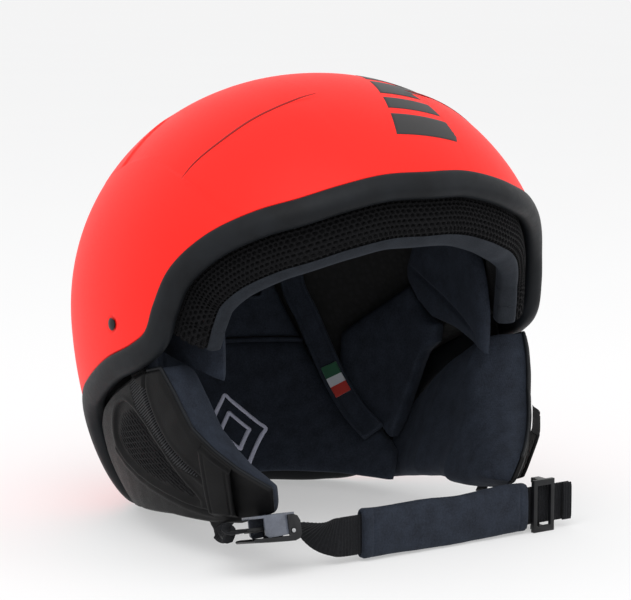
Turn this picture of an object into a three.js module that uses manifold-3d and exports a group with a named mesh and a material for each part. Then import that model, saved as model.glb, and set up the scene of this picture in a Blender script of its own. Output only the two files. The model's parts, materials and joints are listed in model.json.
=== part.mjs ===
// Open-face ski helmet with soft ear pads and a ratchet chin strap, resting on a flat floor.
// Millimetres, +Z up, face opening towards -Y, wearer's left towards +X, origin under the middle of its box.
import * as THREE from "three";
import { mergeVertices } from "three/addons/utils/BufferGeometryUtils.js";
import Module from "manifold-3d";

const wasm = await Module();
wasm.setup();

// ---------------------------------------------------------------- driving dimensions
const SHELL = {
  halfWidth: 113, rearLength: 136, frontLength: 128.4, riseAbove: 115.2, dropBelow: 155.5,
  planPower: 2.03, sidePower: 2.08, pitchDegrees: 9.86, centreHeight: 107,
};
const MIDDLE_Y = -16.6; // moves the shell's centre so that the origin is under the middle of the whole box
const SHELL_THICKNESS = 2.6;
const FOAM_OUTER = 3.1; // inset of the impact foam's outer face, a gap inside the shell
const FOAM_INNER = 24;
const PAD_BACK = 25.6; // inset of the comfort pads' backs, a gap inside the impact foam
const RIM_COLUMNS = 60;
const SHELL_ROWS = 8;
const TRIM_START = 0.4; // the rubber trim begins this far beyond the shell's edge

// The shell's edge on one side: azimuth in degrees from the front, and height above the floor.
const RIM = [
  [0, 182], [12, 181.5], [24, 177], [34, 171.5], [44, 166], [57, 154], [66, 138], [70, 121], [72.5, 108.5],
  [78, 101], [89, 92], [101, 80], [110, 70.5], [117, 58], [122, 42], [126.5, 26], [134, 13], [146, 9.2],
  [164, 8.8], [180, 8.8],
];

// The chin strap runs level from its bend near the buckle, turned a little towards the wearer's left ear.
const STRAP = { thickness: 1.5, lineY: -86, middleZ: 13, bendX: -36, turnDegrees: 4 };
// The buckle is drawn at its maker's largest size, then set to this strap's size, roll and place.
const BUCKLE_SET = { size: 0.72, rollDegrees: -14, x: -64.5, y: -84, z: 19 };
const BUCKLE = {
  y: -86, plateLeft: -84, cheekLeft: -80, halfWidth: 11, wall: 1.6, top: 25.5,
  pinX: -61, pinZ: 13.9, pinRadius: 1.4, lobe: 2.9, leverLeft: -90, leverRight: -55, leverBottom: 7.4,
  leverHalfWidth: 12.6, leverFloor: 10.6, barX: -61.8, barZ: 20, barRadius: 1.2,
};
const TONGUE = { start: -91, end: -70, z: 17.5, halfWidth: 7, thickness: 2, toothPitch: 3, toothHeight: 1.2 };
const SLEEVE = { left: -24, right: 75.5, height: 25, depth: 8, slotHeight: 21, slotDepth: 2.8 };
const ADJUSTER = { left: 78, right: 91, bottom: 0, top: 26, rail: 2.2, front: -90, back: -82.4 };
const CLIP = { halfWidth: 9, hingeHeight: 84, hingeReach: 5.2, tabBottom: 42, standOff: 6, thickness: 2.2 };
const SNAP = { height: 49, holeRadius: 4.2, capRadius: 6, headRadius: 2.6 };

const X_AXIS = new THREE.Vector3(1, 0, 0);
const radians = THREE.MathUtils.degToRad;
const lerp = THREE.MathUtils.lerp;
const smoothstep = THREE.MathUtils.smoothstep;
const vec = (x, y, z) => new THREE.Vector3(x, y, z);

// ---------------------------------------------------------------- the shell's surface
const centre = vec(0, 0, SHELL.centreHeight);

// The point where a ray from the shell's centre leaves the shell shrunk by an inset on every side.
function onShell(direction, inset = 0) {
  const local = direction.clone().normalize().applyAxisAngle(X_AXIS, radians(SHELL.pitchDegrees));
  const length = (local.y > 0 ? SHELL.rearLength : SHELL.frontLength) - inset;
  const rise = (local.z > 0 ? SHELL.riseAbove : SHELL.dropBelow) - inset;
  const plan = Math.abs(local.x / (SHELL.halfWidth - inset)) ** SHELL.planPower
    + Math.abs(local.y / length) ** SHELL.planPower;
  const side = plan ** (SHELL.sidePower / SHELL.planPower) + Math.abs(local.z / rise) ** SHELL.sidePower;
  const radius = side ** (-1 / SHELL.sidePower);
  return direction.clone().normalize().multiplyScalar(radius).add(centre);
}

const heading = (azimuth, elevation) => vec(
  Math.sin(radians(azimuth)) * Math.cos(radians(elevation)),
  -Math.cos(radians(azimuth)) * Math.cos(radians(elevation)),
  Math.sin(radians(elevation)),
);

// The point of an inset surface at an azimuth and a height above the floor.
function atHeight(azimuth, height, inset = 0) {
  let low = -80;
  let high = 80;
  for (let step = 0; step < 30; step += 1) {
    const middle = (low + high) / 2;
    if (onShell(heading(azimuth, middle), inset).z < height) low = middle;
    else high = middle;
  }
  return onShell(heading(azimuth, low), inset);
}

// ---------------------------------------------------------------- mesh builders
function solid(positions, triangles) {
  let geometry = new THREE.BufferGeometry();
  const numbers = positions.flatMap((p) => [p.x, p.y, p.z]);
  geometry.setAttribute("position", new THREE.Float32BufferAttribute(numbers, 3));
  geometry.setIndex(triangles.flat());
  geometry = mergeVertices(geometry, 1e-3);
  const index = Array.from(geometry.index.array);
  const kept = [];
  for (let i = 0; i < index.length; i += 3) {
    const [a, b, c] = index.slice(i, i + 3);
    if (a !== b && b !== c && a !== c) kept.push(a, b, c);
  }
  if (signedVolume(geometry, kept) < 0) kept.reverse();
  geometry.setIndex(kept);
  geometry.computeVertexNormals();
  return geometry;
}

function signedVolume(geometry, index) {
  const position = geometry.attributes.position;
  const corner = [vec(0, 0, 0), vec(0, 0, 0), vec(0, 0, 0)];
  let total = 0;
  for (let i = 0; i < index.length; i += 3) {
    corner.forEach((p, k) => p.fromBufferAttribute(position, index[i + k]));
    total += corner[0].dot(corner[1].cross(corner[2])) / 6;
  }
  return total;
}

// A thick sheet between two grids of points, front(u, v) and back(u, v); a wrapped sheet closes in u.
function sheet(front, back, columns, rows, wrapped = false) {
  const points = [];
  const triangles = [];
  const across = wrapped ? columns : columns + 1;
  for (const face of [front, back]) {
    for (let j = 0; j <= rows; j += 1) {
      for (let i = 0; i < across; i += 1) points.push(face(i / columns, j / rows));
    }
  }
  const at = (face, i, j) => face * across * (rows + 1) + j * across + (i % across);
  const quad = (a, b, c, d) => triangles.push([a, b, c], [a, c, d]);
  for (let j = 0; j < rows; j += 1) {
    for (let i = 0; i < columns; i += 1) {
      quad(at(0, i, j), at(0, i + 1, j), at(0, i + 1, j + 1), at(0, i, j + 1));
      quad(at(1, i, j), at(1, i, j + 1), at(1, i + 1, j + 1), at(1, i + 1, j));
    }
  }
  for (let i = 0; i < columns; i += 1) {
    quad(at(0, i + 1, 0), at(0, i, 0), at(1, i, 0), at(1, i + 1, 0));
    quad(at(0, i, rows), at(0, i + 1, rows), at(1, i + 1, rows), at(1, i, rows));
  }
  for (let j = 0; j < rows && !wrapped; j += 1) {
    quad(at(0, 0, j), at(0, 0, j + 1), at(1, 0, j + 1), at(1, 0, j));
    quad(at(0, columns, j + 1), at(0, columns, j), at(1, columns, j), at(1, columns, j + 1));
  }
  return solid(points, triangles);
}

// A body through a list of equal-sized sections; an open one is capped by its flat outline.
function loft(sections, outline, closed = false) {
  const size = outline.length;
  const points = sections.flat();
  const triangles = [];
  const spans = closed ? sections.length : sections.length - 1;
  for (let s = 0; s < spans; s += 1) {
    const here = s * size;
    const next = ((s + 1) % sections.length) * size;
    for (let k = 0; k < size; k += 1) {
      const l = (k + 1) % size;
      triangles.push([here + k, here + l, next + l], [here + k, next + l, next + k]);
    }
  }
  if (!closed) {
    const turned = THREE.ShapeUtils.isClockWise(outline);
    const last = (sections.length - 1) * size;
    for (const [a, b, c] of THREE.ShapeUtils.triangulateShape(outline, [])) {
      const cap = turned ? [a, b, c] : [a, c, b];
      triangles.push(cap, [last + cap[0], last + cap[2], last + cap[1]]);
    }
  }
  return solid(points, triangles);
}

// A turned piece about the Y axis, from a profile of [radius, height] that runs from the top to the bottom.
const turned = (profile, segments) => new THREE.LatheGeometry(flat(profile).reverse(), segments);

const flat = (pairs) => pairs.map(([x, y]) => new THREE.Vector2(x, y));

// A strap with a slightly bowed section through points, each with the direction its width runs in.
const WEBBING_OUTLINE = [[-1, -0.8], [-0.5, -0.96], [0, -1], [0.5, -0.96], [1, -0.8],
  [1, 0.8], [0.5, 0.96], [0, 1], [-0.5, 0.96], [-1, 0.8]];
function strap(stations, width, thickness) {
  const outline = flat(WEBBING_OUTLINE);
  const sections = stations.map(({ point, across, ownWidth = width }, i) => {
    const before = stations[Math.max(0, i - 1)].point;
    const after = stations[Math.min(stations.length - 1, i + 1)].point;
    const along = after.clone().sub(before).normalize();
    const side = across.clone().addScaledVector(along, -across.dot(along)).normalize();
    const face = along.clone().cross(side);
    return outline.map((corner) => point.clone()
      .addScaledVector(side, corner.x * ownWidth / 2)
      .addScaledVector(face, corner.y * thickness / 2));
  });
  return loft(sections, outline);
}

const toManifold = (geometry) => {
  const bare = new THREE.BufferGeometry();
  bare.setAttribute("position", geometry.attributes.position.clone());
  if (geometry.index) bare.setIndex(geometry.index.clone());
  const merged = mergeVertices(bare, 1e-4);
  return new wasm.Manifold(new wasm.Mesh({
    numProp: 3,
    vertProperties: Float32Array.from(merged.attributes.position.array),
    triVerts: Uint32Array.from(merged.index.array),
  }));
};

function fromManifold(body) {
  const mesh = body.getMesh();
  const geometry = new THREE.BufferGeometry();
  geometry.setAttribute("position", new THREE.Float32BufferAttribute(Array.from(mesh.vertProperties), 3));
  geometry.setIndex(Array.from(mesh.triVerts));
  geometry.computeVertexNormals();
  return geometry;
}

const cut = (geometry, ...tools) => fromManifold(
  tools.reduce((body, tool) => body.subtract(toManifold(tool)), toManifold(geometry)),
);
const join = (...parts) => fromManifold(
  parts.slice(1).reduce((body, part) => body.add(toManifold(part)), toManifold(parts[0])),
);

const block = (x0, x1, y0, y1, z0, z1) => new THREE.BoxGeometry(x1 - x0, y1 - y0, z1 - z0)
  .translate((x0 + x1) / 2, (y0 + y1) / 2, (z0 + z1) / 2);

// A flat outline in the X-Z plane, extruded along Y.
function plateXZ(pairs, y0, y1) {
  const shape = new THREE.Shape(flat(pairs));
  return new THREE.ExtrudeGeometry(shape, { depth: y1 - y0, bevelEnabled: false })
    .rotateX(Math.PI / 2).translate(0, y1, 0);
}

// A flat outline in the Y-Z plane, extruded along X.
function plateYZ(shape, x0, x1) {
  return new THREE.ExtrudeGeometry(shape, { depth: x1 - x0, bevelEnabled: false })
    .rotateX(Math.PI / 2).rotateZ(Math.PI / 2).translate(x0, 0, 0);
}

const mirrored = (geometry) => {
  const twin = geometry.clone().scale(-1, 1, 1);
  const index = Array.from(twin.index.array).reverse();
  twin.setIndex(index);
  twin.computeVertexNormals();
  return twin;
};

// ---------------------------------------------------------------- the rim
const rimHalf = RIM.map(([azimuth, height]) => atHeight(azimuth, height));
const rimOther = rimHalf.slice(1, -1).reverse().map((p) => vec(-p.x, p.y, p.z));
const rimCurve = new THREE.CatmullRomCurve3([...rimHalf, ...rimOther], true, "centripetal");
rimCurve.arcLengthDivisions = 1200;

// At a share of the way round from the front: the rim's point, the way outward, and the way off the edge.
const rimFrames = [];
for (let i = 0; i < RIM_COLUMNS; i += 1) {
  const share = i / RIM_COLUMNS;
  const direction = rimCurve.getPointAt(share).sub(centre);
  const point = onShell(direction);
  const tangent = rimCurve.getTangentAt(share);
  const outward = direction.clone().normalize();
  const side = outward.clone().cross(vec(0, 0, 1)).normalize();
  const up = side.clone().cross(outward);
  const step = 0.01;
  const alongSide = onShell(outward.clone().addScaledVector(side, step)).sub(point);
  const alongUp = onShell(outward.clone().addScaledVector(up, step)).sub(point);
  const normal = alongUp.cross(alongSide).normalize();
  const off = tangent.clone().cross(normal).normalize();
  rimFrames.push({ point, outward, off });
}
const rimDirection = (column) => rimFrames[column % RIM_COLUMNS].point.clone().sub(centre).normalize();

// A grid direction that fans out from the crown to the rim.
function fan(u, v) {
  const rim = rimDirection(Math.round(u * RIM_COLUMNS));
  const crown = vec(0, 0, 1);
  const axis = crown.clone().cross(rim).normalize();
  return crown.applyAxisAngle(axis, v * vec(0, 0, 1).angleTo(rim));
}
const layer = (outer, inner) => sheet(
  (u, v) => onShell(fan(u, v), outer), (u, v) => onShell(fan(u, v), inner), RIM_COLUMNS, SHELL_ROWS, true,
);

// A bead along part of the rim, or all of it; a column's outline is given as [off the edge, outward].
function rimBead(outlineAt, columns) {
  const closed = columns.length === RIM_COLUMNS;
  const sections = columns.map((column) => {
    const outline = flat(outlineAt(column));
    const frame = rimFrames[((column % RIM_COLUMNS) + RIM_COLUMNS) % RIM_COLUMNS];
    return outline.map((q) => frame.point.clone()
      .addScaledVector(frame.off, q.x)
      .addScaledVector(frame.outward, q.y));
  });
  return loft(sections, flat(outlineAt(columns[0])), closed);
}
const range = (first, last) => Array.from({ length: last - first + 1 }, (unused, i) => first + i);

// ---------------------------------------------------------------- shaped pads on the inside
// A cushion between azimuths, with a lower and an upper edge height, thin at its borders.
function cushion({ from, to, lower, upper, back = PAD_BACK, edge = 3, middle = 9, columns = 10, rows = 6 }) {
  const point = (u, v, inset) => {
    const azimuth = lerp(from, to, u);
    return atHeight(azimuth, lerp(lower(azimuth), upper(azimuth), v), inset);
  };
  const rise = (t) => Math.sqrt(Math.max(0, 1 - (2 * t - 1) ** 4));
  const thickness = (u, v) => edge + (middle - edge) * rise(u) * rise(v);
  return sheet((u, v) => point(u, v, back), (u, v) => point(u, v, back + thickness(u, v)), columns, rows);
}

// A value between hand-set stations.
const between = (stations) => (x) => {
  let i = 0;
  while (i < stations.length - 2 && x > stations[i + 1][0]) i += 1;
  const [x0, y0] = stations[i];
  const [x1, y1] = stations[i + 1];
  return y0 + (y1 - y0) * THREE.MathUtils.clamp((x - x0) / (x1 - x0), 0, 1);
};

// ---------------------------------------------------------------- ear pads
const EAR = { tipAzimuth: 40, rearAzimuth: 121, coverOuter: 3.5, coverInner: 5.5, foamOuter: 5.9 };
const earTop = between([[40, 37], [44, 41.5], [49, 47.5], [55, 55], [61, 64.5], [66, 81], [70, 91], [76, 88],
  [83, 82], [92, 73.5], [101, 64], [108, 54], [113, 42], [117, 27], [121, 15]]);
const earBottom = between([[40, 32], [44, 27], [50, 21], [60, 17.5], [79, 16.5], [100, 12], [121, 7]]);
const earInner = between([[40, 20], [48, 28], [60, 33], [88, 34], [98, 27], [108, 17], [121, 14]]);

function earLayer(outer, inner, columns, rows) {
  const point = (u, v, inset) => {
    const azimuth = lerp(EAR.tipAzimuth, EAR.rearAzimuth, u);
    return atHeight(azimuth, lerp(earBottom(azimuth), earTop(azimuth), v), inset);
  };
  return sheet((u, v) => point(u, v, outer(u, v)), (u, v) => point(u, v, inner(u, v)), columns, rows);
}
const bulge = (t) => Math.sqrt(Math.max(0, 1 - (2 * t - 1) ** 4));

const earFoam = () => earLayer(
  () => EAR.foamOuter,
  (u, v) => {
    const azimuth = lerp(EAR.tipAzimuth, EAR.rearAzimuth, u);
    return lerp(EAR.foamOuter + 3, earInner(azimuth), bulge(v) * (0.45 + 0.55 * bulge(u)));
  },
  14, 6,
);

// The lens-shaped mesh insert of the ear pad, as azimuth and height round its edge.
const LENS = { from: 61.4, to: 97 };
const LENS_UPPER = between([[61.4, 27.6], [68.6, 42.5], [75.9, 59.2], [81.2, 68.4], [85.5, 71.5], [90, 68],
  [97, 50]]);
const LENS_LOWER = between([[61.4, 26.6], [75, 31], [86.8, 36], [93, 41], [97, 47]]);
const lens = (outer, inner, grow) => sheet(
  (u, v) => lensPoint(u, v, outer, grow), (u, v) => lensPoint(u, v, inner, grow), 8, 2,
);
function lensPoint(u, v, inset, grow) {
  const azimuth = lerp(LENS.from - grow, LENS.to + grow, u);
  const held = THREE.MathUtils.clamp(azimuth, LENS.from, LENS.to);
  const low = LENS_LOWER(held) - grow;
  const high = LENS_UPPER(held) + grow;
  return atHeight(azimuth, lerp(low, high, v), inset);
}

const parts = new THREE.Group();
const buckle = new THREE.Group();
buckle.scale.setScalar(BUCKLE_SET.size);
buckle.rotation.x = radians(BUCKLE_SET.rollDegrees);
// A place in the buckle as drawn, about its pin, as a place on the helmet.
function onBuckle(x, y, z) {
  return vec(x - BUCKLE.pinX, y - BUCKLE.y, z - BUCKLE.pinZ).multiplyScalar(BUCKLE_SET.size)
    .applyEuler(buckle.rotation).add(vec(BUCKLE_SET.x, BUCKLE_SET.y, BUCKLE_SET.z));
}
buckle.position.copy(onBuckle(0, 0, 0));
parts.add(buckle);
function add(name, geometry, colour, roughness, metalness = 0, group = parts) {
  const material = new THREE.MeshStandardMaterial({ color: colour, roughness, metalness });
  const mesh = new THREE.Mesh(geometry, material);
  mesh.name = name;
  group.add(mesh);
  return mesh;
}

const COLOUR = {
  shell: 0xff302a, rubber: 0x222324, foam: 0x1a1a1c, mesh: 0x0c0c0d, lining: 0x24282f, vinyl: 0x1d1e20,
  webbing: 0x101113, plastic: 0x1a1b1d, plate: 0x5a5d66, steel: 0x9a9a9a,
};

// ---------------------------------------------------------------- strap anchors
const ANCHOR = { azimuth: 86.1, height: 108.5, headRadius: 3.1, shankRadius: 2.1 };
const STRAP_INSET = 10.4;
const SIDE_WIDTH = 13.6;

function rivet(extra = 0) {
  const r = ANCHOR.shankRadius + extra;
  const depth = STRAP_INSET + STRAP.thickness / 2;
  const profile = extra > 0
    ? [[0, 3], [r, 3], [r, -depth - 4], [0, -depth - 4]]
    : [[0, 1.2], [1.8, 1], [ANCHOR.headRadius, 0.35], [r, 0.35], [r, -depth - 0.4],
      [ANCHOR.headRadius, -depth - 0.4], [ANCHOR.headRadius, -depth - 1.4], [0, -depth - 1.4]];
  const geometry = turned(profile, 16);
  const point = atHeight(ANCHOR.azimuth, ANCHOR.height);
  const outward = vec(Math.sin(radians(ANCHOR.azimuth)), -Math.cos(radians(ANCHOR.azimuth)), 0);
  const turn = new THREE.Quaternion().setFromUnitVectors(vec(0, 1, 0), outward);
  return geometry.applyQuaternion(turn).translate(point.x, point.y, point.z);
}

// The webbing's route on the left side: azimuth, height and inset while inside the helmet.
const HIDDEN_ROUTE = [[86.1, 115], [86.1, 108.5], [85.5, 99], [84, 88],
  [80.5, 72], [75, 55], [69, 40], [63, 26], [60, 14.5]];
const route = HIDDEN_ROUTE.map(([azimuth, height]) => atHeight(azimuth, height, STRAP_INSET));
const upright = vec(0, 0, 1);

function hiddenStations(first, last) {
  return route.slice(first, last).map((point, i) => {
    const before = route[Math.max(0, first + i - 1)];
    const after = route[Math.min(route.length - 1, first + i + 1)];
    const along = after.clone().sub(before).normalize();
    const across = point.clone().sub(centre).normalize().cross(along);
    return { point, across };
  });
}
// The room that the webbing takes inside the foam, running on a little past the lower edge.
function channel() {
  const stations = hiddenStations(0, HIDDEN_ROUTE.length);
  const last = stations[stations.length - 1];
  const along = last.point.clone().sub(stations[stations.length - 2].point).normalize();
  stations.push({ point: last.point.clone().addScaledVector(along, 10), across: last.across });
  return strap(stations, SIDE_WIDTH + 7, STRAP.thickness + 3);
}

// ---------------------------------------------------------------- shell, foam and trim
const shellHole = rivet(0.4);
add("outer_shell", cut(layer(0, SHELL_THICKNESS), shellHole, mirrored(shellHole)), COLOUR.shell, 0.55);
const foamHole = rivet(1.8);
const foamCuts = [foamHole, channel()];
const foamBody = cut(layer(FOAM_OUTER, FOAM_INNER), ...foamCuts, ...foamCuts.map(mirrored));
add("impact_liner", foamBody, COLOUR.foam, 0.95);
const TRIM_OUTLINE = [[0, -8.3], [0, 0.9], [2, 1.5], [6.5, 1.5], [9.8, 0.2], [11.4, -2.4], [11.4, -5],
  [9.6, -7.6]];
add("rim_trim", rimBead(() => TRIM_OUTLINE.map(([x, y]) => [x + TRIM_START, y]), range(0, RIM_COLUMNS - 1)),
  COLOUR.rubber, 0.6);

const rimAzimuth = (column) => {
  const p = rimFrames[column].point;
  return THREE.MathUtils.radToDeg(Math.atan2(p.x, -p.y));
};
const lastBrowColumn = range(0, RIM_COLUMNS / 2).findIndex((column) => rimAzimuth(column) > 70.5);
const browColumns = range(-lastBrowColumn, lastBrowColumn);
const BROW_OUTLINE = [[1.5, -9.6], [12, -9.4], [19, -12], [23.5, -16], [24, -20], [21, -24], [12, -26.5],
  [1.5, -25]];
add("brow_pad", rimBead(() => BROW_OUTLINE, browColumns), COLOUR.mesh, 0.95);
const LINING_OUTLINE = [[24.6, -17.4], [27, -19], [27.4, -24], [23, -30], [10, -33], [-14, -35.4], [-17, -33],
  [-15, -30.6], [8, -28.4], [21.4, -24.8], [24.5, -20.4]];
// Past the brow the edging narrows to a strip along the mesh, so that the temple pads can stand behind it.
const STRIP_OUTLINE = [[24.6, -17.4], [27, -19], [27.4, -24], [25.4, -27], [22.5, -27.5], [20, -27.5],
  [19, -27.2], [19, -26.8], [20, -25.7], [21.4, -24.8], [24.5, -20.4]];
const NARROWING = { start: 38, end: 54 }; // azimuths
const edgingAt = (column) => {
  const share = smoothstep(rimAzimuth(Math.abs(column)), NARROWING.start, NARROWING.end);
  return LINING_OUTLINE.map(([x, y], i) => [
    lerp(x, STRIP_OUTLINE[i][0], share), lerp(y, STRIP_OUTLINE[i][1], share),
  ]);
};
add("brow_lining", rimBead(edgingAt, browColumns), COLOUR.lining, 0.9);


// ---------------------------------------------------------------- comfort pads
const NAPE = { bottom: 11, top: 75 };
const napeHalf = between([[11, 76], [24, 72], [36, 58], [45, 46], [56, 36], [75, 28]]);
const rearHalf = between([[77.5, 27.5], [89, 24], [105, 20], [128, 18]]);
const swelling = (u, v, edge, middle) => edge + (middle - edge) * bulge(u) * bulge(v);
function rearPoint(u, v, inset) {
  const height = lerp(77.5, 128, v);
  return atHeight(180 + (2 * u - 1) * rearHalf(height), height, inset);
}
function napePoint(u, v, inset) {
  const height = lerp(NAPE.bottom, NAPE.top, v);
  return atHeight(180 + (2 * u - 1) * napeHalf(height), height, inset);
}
const napePad = sheet(
  (u, v) => napePoint(u, v, PAD_BACK), (u, v) => napePoint(u, v, PAD_BACK + swelling(u, v, 3, 8)), 16, 6,
);
add("nape_pad", napePad, COLOUR.lining, 0.9);
const rearPad = sheet(
  (u, v) => rearPoint(u, v, PAD_BACK + 1), (u, v) => rearPoint(u, v, PAD_BACK + swelling(u, v, 4, 8)), 12, 8,
);
const ventSlot = block(-27, 27, 60, 125, 99, 106);
add("rear_pad", cut(rearPad, ventSlot), COLOUR.lining, 0.9);

const CROWN_PAD = { reach: 34, back: PAD_BACK, front: 33 };
const crownAt = (u, v, inset) => onShell(heading(360 * u, 90 - CROWN_PAD.reach * v), inset);
add("crown_pad", sheet(
  (u, v) => crownAt(u, v, CROWN_PAD.back),
  (u, v) => crownAt(u, v, lerp(CROWN_PAD.back + 2, CROWN_PAD.front, Math.sqrt(1 - v ** 4))), 20, 4, true,
), COLOUR.mesh, 0.95);

// The band with piped edges between the rear pads and the side pads, as azimuth and height.
const BAND = { width: 10, thickness: 4, steps: 12, inset: 37.5 };
const BAND_ROUTE = [[156.5, 126], [154.7, 105], [150.2, 89.5], [146.5, 76.5], [139, 56.5], [130, 43],
  [118, 34]];
const bandPoints = BAND_ROUTE.map(([azimuth, height]) => atHeight(azimuth, height, BAND.inset));
const bandCurve = new THREE.CatmullRomCurve3(bandPoints);
function bandStations() {
  return range(0, BAND.steps).map((i) => {
    const point = bandCurve.getPoint(i / BAND.steps);
    const along = bandCurve.getTangent(i / BAND.steps);
    return { point, across: point.clone().sub(centre).normalize().cross(along) };
  });
}

const sideLower = between([[97, 82], [102, 76], [104, 68], [106, 56], [108, 40], [110, 31], [112, 31],
  [118, 35.5], [124, 40], [130, 44.5], [139, 53]]);
const sideUpper = between([[97, 91], [101, 93], [106, 98.5], [112, 109], [117, 104], [130, 91], [139, 80]]);
const templeLower = between([[58, 84], [62, 85], [67, 87], [84.5, 92], [98, 94.5], [106, 102], [112, 112.5]]);
const templeUpper = between([[58, 104], [62, 130], [70, 147], [84, 151], [98, 144], [106, 133], [112, 119]]);
const sidePad = () => cushion({ from: 97, to: 139, lower: sideLower, upper: sideUpper, middle: 8 });
const TEMPLE_BACK = PAD_BACK + 2.6;
const templePad = (grow = 0) => cushion({
  from: 58 - grow, to: 112, lower: (azimuth) => templeLower(azimuth) - grow,
  upper: (azimuth) => templeUpper(azimuth) + grow, edge: 3 + 2 * grow, middle: 8 + 2 * grow,
  back: TEMPLE_BACK - grow, columns: 14,
});

// ---------------------------------------------------------------- ear pads and what is on them
const cover = () => cut(
  earLayer(() => EAR.coverOuter, () => EAR.coverInner, 20, 4), lens(1, 9, 0.4),
);
const keeperPoint = (u, v, inset) => {
  const azimuth = lerp(49.5, 57.5, u);
  return atHeight(azimuth, lerp(earBottom(azimuth) + 4, earTop(azimuth) - 1, v), inset);
};
const keeper = () => sheet(
  (u, v) => keeperPoint(u, v, -0.8), (u, v) => keeperPoint(u, v, v < 0.1 || v > 0.9 ? 3.1 : 0.8), 3, 8,
);

const SIDES = [["left", (g) => g], ["right", mirrored]];
for (const [side, place] of SIDES) {
  add(`temple_pad_${side}`, place(templePad()), COLOUR.lining, 0.9);
  add(`side_pad_${side}`, place(sidePad()), COLOUR.lining, 0.9);
  add(`rear_band_${side}`, place(strap(bandStations(), BAND.width, BAND.thickness)), COLOUR.lining, 0.9);
  add(`ear_pad_${side}`, place(cut(earFoam(), channel())), COLOUR.lining, 0.9);
  add(`ear_cover_${side}`, place(cover()), COLOUR.vinyl, 0.55);
  add(`ear_mesh_${side}`, place(lens(4, 5.4, 0)), COLOUR.mesh, 0.7);
  add(`strap_keeper_${side}`, place(keeper()), COLOUR.vinyl, 0.55);
  add(`strap_rivet_${side}`, place(rivet()), COLOUR.plastic, 0.45);
}

// ---------------------------------------------------------------- chin strap
const strapHole = rivet(0.5);
// The right webbing comes out under the ear pad and turns flat before it meets the ratchet tongue.
const tongueStart = onBuckle(TONGUE.start, BUCKLE.y, TONGUE.z);
const flatAcross = vec(0, 1, 0).applyEuler(buckle.rotation);
const RIGHT_FRONT = [
  [-80, -55, 10, [0.2, 0.5, 0.8]], [-85, -63, 10.5, [0.3, 0.6, 0.5]], [-91, -71, 13.5, [0.6, 0.6, 0.2]],
  [-95.5, -78, 18.5, [0.8, 0.6, 0]],
];
const rightStations = hiddenStations(0, HIDDEN_ROUTE.length).map(({ point, across }) => ({
  point: vec(-point.x, point.y, point.z), across: vec(across.x, -across.y, -across.z),
}));
const stationsOf = (rows) => rows.map(([x, y, z, across]) => ({
  point: vec(x, y, z), across: vec(...across),
}));
const sideStrap = (stations, hole) => cut(strap(stations, SIDE_WIDTH, STRAP.thickness), hole);
rightStations.push(...stationsOf(RIGHT_FRONT));
rightStations.push({ point: tongueStart.clone().add(vec(-6.5, 0, -0.3)), across: flatAcross, ownWidth: 11 });
rightStations.push({ point: tongueStart.clone().add(vec(-0.3, 0, 0)), across: flatAcross, ownWidth: 10 });
add("strap_right", sideStrap(rightStations, mirrored(strapHole)), COLOUR.webbing, 0.8);
add("strap_left", sideStrap(hiddenStations(0, HIDDEN_ROUTE.length), strapHole), COLOUR.webbing, 0.8);
const LEFT_FRONT = [
  [81.5, -54.5, 10, [0.2, -0.5, -0.8]], [86, -59.5, 9.5, [0.2, -0.4, -0.8]],
  [89.6, -65, 10.5, [0.1, -0.2, -0.9]], [90.8, -69.4, 12.4, [0, 0, -1]], [88.4, -71.9, 13, [0, 0, -1]],
  [82, -72.5, 13, [0, 0, -1]],
];
const dropStations = stationsOf(LEFT_FRONT);
add("strap_left_drop", strap(dropStations, SIDE_WIDTH, STRAP.thickness), COLOUR.webbing, 0.8);

// The toothed tongue: one flat outline with the teeth below, extruded across the strap.
function tongue() {
  const top = TONGUE.z + TONGUE.thickness / 2;
  const bottom = TONGUE.z - TONGUE.thickness / 2;
  const outline = [[TONGUE.start, top], [TONGUE.start, bottom]];
  for (let x = TONGUE.start + 5; x < TONGUE.end - TONGUE.toothPitch; x += TONGUE.toothPitch) {
    outline.push([x, bottom], [x, bottom - TONGUE.toothHeight], [x + TONGUE.toothPitch * 0.8, bottom]);
  }
  outline.push([TONGUE.end - 1, bottom], [TONGUE.end, TONGUE.z], [TONGUE.end - 1, top]);
  return plateXZ(outline, BUCKLE.y - TONGUE.halfWidth, BUCKLE.y + TONGUE.halfWidth);
}
add("buckle_tongue", tongue(), COLOUR.plastic, 0.4, 0, buckle);

const acrossY = (x, z, radius, half) => new THREE.CylinderGeometry(radius, radius, 2 * half, 16)
  .translate(x, BUCKLE.y, z);
const B = BUCKLE;
const PIN_PLAY = 0.35;

// The frame: a plate on the skin side and two cheeks that carry the pin and the strap bar.
function buckleFrame() {
  const cheekTop = B.top - B.wall / 2;
  const cheek = [[B.cheekLeft, cheekTop], [B.cheekLeft, 13], [B.cheekLeft + 2, 11.2],
    [B.pinX - 2, B.pinZ - B.lobe + 0.8], [B.pinX, B.pinZ - B.lobe], [B.pinX + 2.2, B.pinZ - 1.9],
    [B.pinX + B.lobe, B.pinZ], [B.pinX + B.lobe, cheekTop]];
  const near = plateXZ(cheek, B.y - B.halfWidth, B.y - B.halfWidth + B.wall);
  const far = plateXZ(cheek, B.y + B.halfWidth - B.wall, B.y + B.halfWidth);
  const plate = block(
    B.plateLeft, B.pinX + B.lobe, B.y - B.halfWidth, B.y + B.halfWidth, B.top - B.wall, B.top,
  );
  const hole = acrossY(B.pinX, B.pinZ, B.pinRadius + PIN_PLAY, 20);
  const barHole = acrossY(B.barX, B.barZ, B.barRadius + PIN_PLAY, 20);
  return cut(join(plate, near, far), hole, barHole);
}
add("buckle_frame", buckleFrame(), COLOUR.plate, 0.3, 0.2, buckle);
add("buckle_pin", acrossY(B.pinX, B.pinZ, B.pinRadius, 13.4), COLOUR.steel, 0.3, 1, buckle);
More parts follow.
